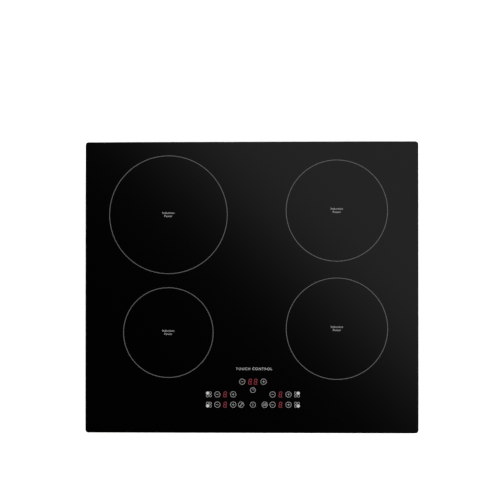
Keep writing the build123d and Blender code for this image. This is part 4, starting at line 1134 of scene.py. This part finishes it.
def ringChoke(x, y, ringRadius, z, sizes):
    # coated ring core, and on each half a wire that winds round it: theta = turns * phi
    phi = np.linspace(0, 2 * pi, 72, endpoint=False)[:, None]
    theta = np.linspace(0, 2 * pi, 16, endpoint=False)[None, :]
    reach = ringRadius + sizes["core"] * np.cos(theta)
    height = z + sizes["core"] * np.sin(theta) + 0 * phi
    core = np.stack([x + reach * np.cos(phi), y + reach * np.sin(phi), height], axis=-1)
    wires = []
    offset = sizes["core"] + sizes["wire"] - sizes["bite"]
    for start in sizes["starts"]:
        t = np.linspace(0, 1, sizes["turnsPerHalf"] * 18)
        along = start + sizes["halfSpan"] * t
        about = 2 * pi * sizes["turnsPerHalf"] * t
        out = np.column_stack([np.cos(about) * np.cos(along), np.cos(about) * np.sin(along), np.sin(about)])
        spine = atHeight(arc(x, y, ringRadius, along), z)
        wires.append(tubeAlong(spine + offset * out, sizes["wire"], 6, out))
    return (core.reshape(-1, 3), gridFaces(72, 16, True, True)), wires


chokeLow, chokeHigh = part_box("filter_chokes")
chokeRadius = (chokeHigh.y - chokeLow.y) / 2
chokeThick = (chokeHigh.z - chokeLow.z) / 2
chokeY = (chokeLow.y + chokeHigh.y) / 2
cores, windings = [], []
for x in (chokeLow.x + chokeRadius, chokeHigh.x - chokeRadius):
    core, wires = ringChoke(x, chokeY, chokeRadius - chokeThick, chokeLow.z + chokeThick, chokeSizes)
    cores.append(core)
    windings += wires
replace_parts(makePiece("chokeCores", *joined(cores), coreFinish, "choke_winding"), "filter_chokes")
makePiece("chokeWires", *joined(windings), finishes["choke_winding"], "choke_winding")
print("chokes made")

boardParts = {  # boxes are (width, depth, height); places are from the board's middle, at middleY
    "middleY": -97 * mm,
    "relay": (19 * mm, 15.4 * mm, 15 * mm),
    "relaysAt": [(24, -24), (24, -4)],
    "can": (8 * mm, 24 * mm),  # radius and height of the smoothing capacitors
    "cansAt": [(-26, -36), (-7, -36)],
    "transformer": (24 * mm, 20 * mm, 17 * mm),
    "transformerAt": (-20, 18),
    "limb": 5.2 * mm,
    "chip": (13 * mm, 7.6 * mm, 2.3 * mm),
    "chipsAt": [(8, 24), (8, 8), (28, 24)],
    "chipLegs": 14,
    "rowsAt": [(-24, -10, 4, 5), (-2, -10, 3, 5), (28, 10, 5, 2), (8, 34, 6, 2), (28, 34, 4, 2)],
    "rowPitch": (3.6 * mm, 2.6 * mm),
    "gap": 0.2 * mm,
}


boardFinishes = {
    "relayCase": (mouldedPlastic, rgb(0.02, 0.06, 0.2), 0.38, 700.0, 3e-5, 0.1, 0.12),
    "canSleeve": (mouldedPlastic, rgb(0.015, 0.02, 0.05), 0.28, 400.0, 2e-5, 0.06, 0.2),
    "canTop": (rolledAluminium, 0.7, True),
    "windingTape": (mouldedPlastic, rgb(0.62, 0.42, 0.03), 0.3, 300.0, 3e-5, 0.06, 0.1),
    "chipCeramic": (mouldedPlastic, rgb(0.32, 0.2, 0.11), 0.45, 2500.0, 1e-5, 0.03, 0.2),
}
for name, entry in boardFinishes.items():
    finishes[name] = makeFinish(name, *entry)
boardPieces = {  # finish, material slot and whether it is smooth
    "relays": ("relayCase", "terminal_plastic", False),
    "canSleeves": ("canSleeve", "capacitor_case", True),
    "canTops": ("canTop", "sink_aluminium", True),
    "transformerCores": ("ferrite", "ferrite", False),
    "transformerTape": ("windingTape", "capacitor_case", False),
    "chips": ("transistor_black", "transistor_black", False),
    "chipMetal": ("terminal_metal", "terminal_metal", False),
    "chipCeramics": ("chipCeramic", "board_green", False),
}


def gullLegs(x, y, z, length, width, count):
    # two rows of flat legs bent down and out: a flat strip along a path with two bends
    out = np.array([0.0, 0.7, 1.0, 1.9]) * mm
    drop = np.array([1.1, 1.1, 0.08, 0.08]) * mm
    section = np.array([(-0.2, 0.0), (0.2, 0.0), (0.2, 0.15), (-0.2, 0.15)]) * mm
    last = 4 * (len(out) - 1)
    legs = []
    for k in range(count // 2):
        legX = x + (k - (count // 2 - 1) / 2) * length / (count // 2)
        for sign in (-1, 1):
            legY = y + sign * (width / 2 + out)
            points = [(legX + u, atY, z + up + v) for atY, up in zip(legY, drop) for u, v in section]
            faces = [tuple(f) for f in gridFaces(len(out), 4, False, True)]
            faces += [(0, 1, 2, 3), (last + 3, last + 2, last + 1, last)]
            legs.append((np.array(points), faces if sign > 0 else [f[::-1] for f in faces]))
    return legs


def chipRow(x, y, z, columns, rows, pitchX, pitchY):
    # chip resistors and capacitors: a body with a plated cap on each end
    bodies, caps = [], []
    for i in range(columns):
        for k in range(rows):
            px, py = x + (i - (columns - 1) / 2) * pitchX, y + (k - (rows - 1) / 2) * pitchY
            bodies.append(flatPlate(roundedRect(1.4 * mm, 1.2 * mm, 0.1 * mm, 2, px, py), z, z + 0.55 * mm))
            for sign in (-1, 1):
                outline = roundedRect(0.4 * mm, 1.25 * mm, 0.1 * mm, 2, px + sign * 0.85 * mm, py)
                caps.append(flatPlate(outline, z, z + 0.6 * mm))
    return bodies, caps


def canShape(x, y, z, radius, height):
    # sleeve with the rolled groove near its foot, and a top with a crimped rim: (radius, height in mm)
    r, h = radius, height / mm
    groove = [(r, 2.2), (r * 0.93, 2.8), (r * 0.93, 3.3), (r, 3.9)]
    sleeve = [(r * 0.97, 0), (r, 0.5), *groove, (r, h - 0.9), (r * 0.97, h - 0.25), (r * 0.8, h - 0.05)]
    top = [(r * 0.79, h - 1.2), (r * 0.79, h - 0.2), (r * 0.77, h), (r * 0.3, h - 0.1)]
    return [turned(x, y, [(a, z + b * mm) for a, b in profile]) for profile in (sleeve, top)]


def transformerParts(x, y, z, w, d, h, limb):
    # two limbs and a yoke of ferrite, the taped winding between them, and the foot below
    between = w - 2 * limb
    cores = [
        softBlock(x + k * (w - limb) / 2, y, z + 1.5 * mm, limb, d, h - 1.5 * mm, 0.6 * mm, 0.4 * mm)
        for k in (-1, 1)
    ]
    cores.append(softBlock(x, y, z + h - 5 * mm, between - 0.2 * mm, d * 0.96, 4.6 * mm, 0.5 * mm, 0.3 * mm))
    tape = softBlock(x, y, z + 2.4 * mm, between - 0.4 * mm, d * 1.12, h - 7.6 * mm, 3 * mm, 0.6 * mm)
    foot = softBlock(x, y, z + 0.1 * mm, w + 2 * mm, d + 1 * mm, 1.3 * mm, 0.8 * mm, 0.2 * mm)
    return cores, tape, foot


def fillBoard(side, sizes, into):
    low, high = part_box(f"power_board_{side}")
    middle, z = np.array([(low.x + high.x) / 2, sizes["middleY"]]), high.z

    def placed(offsets):
        return [tuple(middle + np.array(offset) * mm) for offset in offsets]

    for x, y in placed(sizes["relaysAt"]):
        into["relays"].append(softBlock(x, y, z + sizes["gap"], *sizes["relay"], 0.8 * mm, 0.5 * mm))
    for x, y in placed(sizes["cansAt"]):
        sleeve, top = canShape(x, y, z + sizes["gap"], *sizes["can"])
        into["canSleeves"].append(sleeve)
        into["canTops"].append(top)
    [(x, y)] = placed([sizes["transformerAt"]])
    cores, tape, foot = transformerParts(x, y, z, *sizes["transformer"], sizes["limb"])
    into["transformerCores"] += cores
    into["transformerTape"].append(tape)
    into["chips"].append(foot)
    w, d, h = sizes["chip"]
    for x, y in placed(sizes["chipsAt"]):
        into["chips"].append(softBlock(x, y, z + 0.25 * mm, w, d, h - 0.25 * mm, 0.3 * mm, 0.25 * mm))
        into["chipMetal"] += gullLegs(x, y, z, w * 0.92, d, sizes["chipLegs"])
    for rowX, rowY, columns, rows in sizes["rowsAt"]:
        [(x, y)] = placed([(rowX, rowY)])
        bodies, caps = chipRow(x, y, z, columns, rows, *sizes["rowPitch"])
        into["chipCeramics"] += bodies
        into["chipMetal"] += caps


boardMeshes = {name: [] for name in boardPieces}
for side in ("left", "right"):
    fillBoard(side, boardParts, boardMeshes)
for name, (finish, slot, smooth) in boardPieces.items():
    makePiece(name, *joined(boardMeshes[name]), finishes[finish], slot, smooth=smooth)
print("board parts made")

shot = {
    "lens": 100.0,
    "distance": 2.459,
    "leanRight": 1.54,  # degrees the camera stands off to the right of straight above
    "leanFront": 0.48,
    "shiftX": -0.00286,
    "shiftY": 0.0745,
}


def addCamera(sizes):
    # stands off from straight above by two leans, with the picture's up along +Y
    data = bpy.data.cameras.new("shotCamera")
    data.lens, data.sensor_width = sizes["lens"], 36.0
    data.shift_x, data.shift_y = sizes["shiftX"], sizes["shiftY"]
    data.clip_start, data.clip_end = 0.05, 50.0
    camera = addObject("shotCamera", data)
    target = Vector((0, 0, glassTop))
    back = Vector((tan(radians(sizes["leanRight"])), -tan(radians(sizes["leanFront"])), 1)).normalized()
    camera.location = target + back * sizes["distance"]
    camera.rotation_mode = "QUATERNION"
    right = Vector((0, 1, 0)).cross(back).normalized()
    camera.rotation_quaternion = Matrix((right, back.cross(right), back)).transposed().to_quaternion()
    bpy.context.scene.camera = camera
    return camera


camera = addCamera(shot)


def stagePlane(name, size, z, material):
    half = size / 2
    mesh = bpy.data.meshes.new(name)
    corners = [(-half, -half, z), (half, -half, z), (half, half, z), (-half, half, z)]
    mesh.from_pydata(corners, [], [(0, 1, 2, 3)])
    mesh.materials.append(material)
    plane = addObject(name, mesh)
    return plane


def paleFloor():
    # white sweep: diffuse white plus a little light of its own, so the ground reads as white paper;
    # clear from below
    material, tree, shader = startMaterial("paleFloor")
    white, glow = rgb(0.86, 0.86, 0.86), rgb(1, 1, 1)
    paper = {"Base Color": white, "Roughness": 0.9, "Specular IOR Level": 0.0}
    feed(tree, shader, {**paper, "Emission Color": glow, "Emission Strength": 0.42})
    below = put(tree, "NewGeometry").outputs["Backfacing"]
    clear = put(tree, "BsdfTransparent").outputs[0]
    shown = put(tree, "MixShader", None, {0: below, 1: shader.outputs[0], 2: clear}).outputs[0]
    feed(tree, tree.nodes["Material Output"], {0: shown})
    return material


stagePlane("floor", 30.0, cadBox[0].z, paleFloor())

sheen = {
    "height": 3.0,
    "size": 2.4,
    "lean": 1.014,
    "start": 0.167,
    "rise": 17.36,
    "power": 0.651,
    "strength": 0.443,
}


def overheadCard(sizes, distance):
    # soft light far above, seen only as the sheen on the glass: black at the front left corner,
    # rising as (1 / (1 + exp(-rise * s)))^power, with s along the diagonal to the rear right
    material = bpy.data.materials.new("overheadSheen")
    material.use_nodes = True
    tree = material.node_tree
    tree.nodes.clear()
    # the card's point that the camera sees in the glass at (x, y) is spread out from it by this share
    beyond = sizes["height"] / distance
    place = put(tree, "SeparateXYZ", None, {0: ownPlace(tree)}).outputs
    x = maths(tree, "DIVIDE", minus(tree, place["X"], -camera.location.x * beyond), 1 + beyond)
    y = maths(tree, "DIVIDE", minus(tree, place["Y"], -camera.location.y * beyond), 1 + beyond)
    s = minus(tree, plus(tree, x, times(tree, y, sizes["lean"])), sizes["start"])
    slope = maths(tree, "EXPONENT", times(tree, s, -sizes["rise"]))
    level = maths(tree, "DIVIDE", 1.0, plus(tree, slope, 1.0))
    light = times(tree, maths(tree, "POWER", level, sizes["power"]), sizes["strength"])
    emit = put(tree, "Emission", None, {"Color": rgb(0.96, 0.98, 1.0), "Strength": light})
    put(tree, "OutputMaterial", None, {0: emit.outputs[0]})
    card = stagePlane("overheadCard", sizes["size"], sizes["height"] + glassTop, material)
    card.visible_camera = card.visible_diffuse = card.visible_shadow = False
    card.visible_transmission = False


overheadCard(sheen, shot["distance"])

lamps = {  # place and watts; each is a square of lampSize that faces the hob's middle
    "keyLight": ((-2.2, -1.6, 2.2), 70),
    "fillLight": ((2.4, -1.2, 1.6), 45),
    "rearLight": ((0.6, 2.6, 1.8), 50),
}
lampSize = 1.6


def softBox(name, place, watts):
    data = bpy.data.lights.new(name, "AREA")
    data.shape, data.size, data.energy = "SQUARE", lampSize, watts
    light = addObject(name, data)
    light.location = place
    light.rotation_mode = "QUATERNION"
    light.rotation_quaternion = (-Vector(place)).to_track_quat("-Z", "Y")
    light.visible_glossy = False  # no lamp outline mirrored in the glass


for name, (place, watts) in lamps.items():
    softBox(name, place, watts)

world = bpy.data.worlds.new("studioRoom")
bpy.context.scene.world = world
world.use_nodes = True
worldTree = world.node_tree
skyward = axisOf(worldTree, put(worldTree, "TexCoord").outputs["Generated"], "Z")
skyColour = mixColour(worldTree, remap(worldTree, skyward, 0.05, 0.9, 0.92, 0.45), rgb(0, 0, 0), rgb(1, 1, 1))
feed(worldTree, worldTree.nodes["Background"], {"Color": skyColour, "Strength": 1.0})
bpy.context.scene.view_settings.view_transform = "Standard"
bpy.context.scene.view_settings.look = "None"
print("stage set")
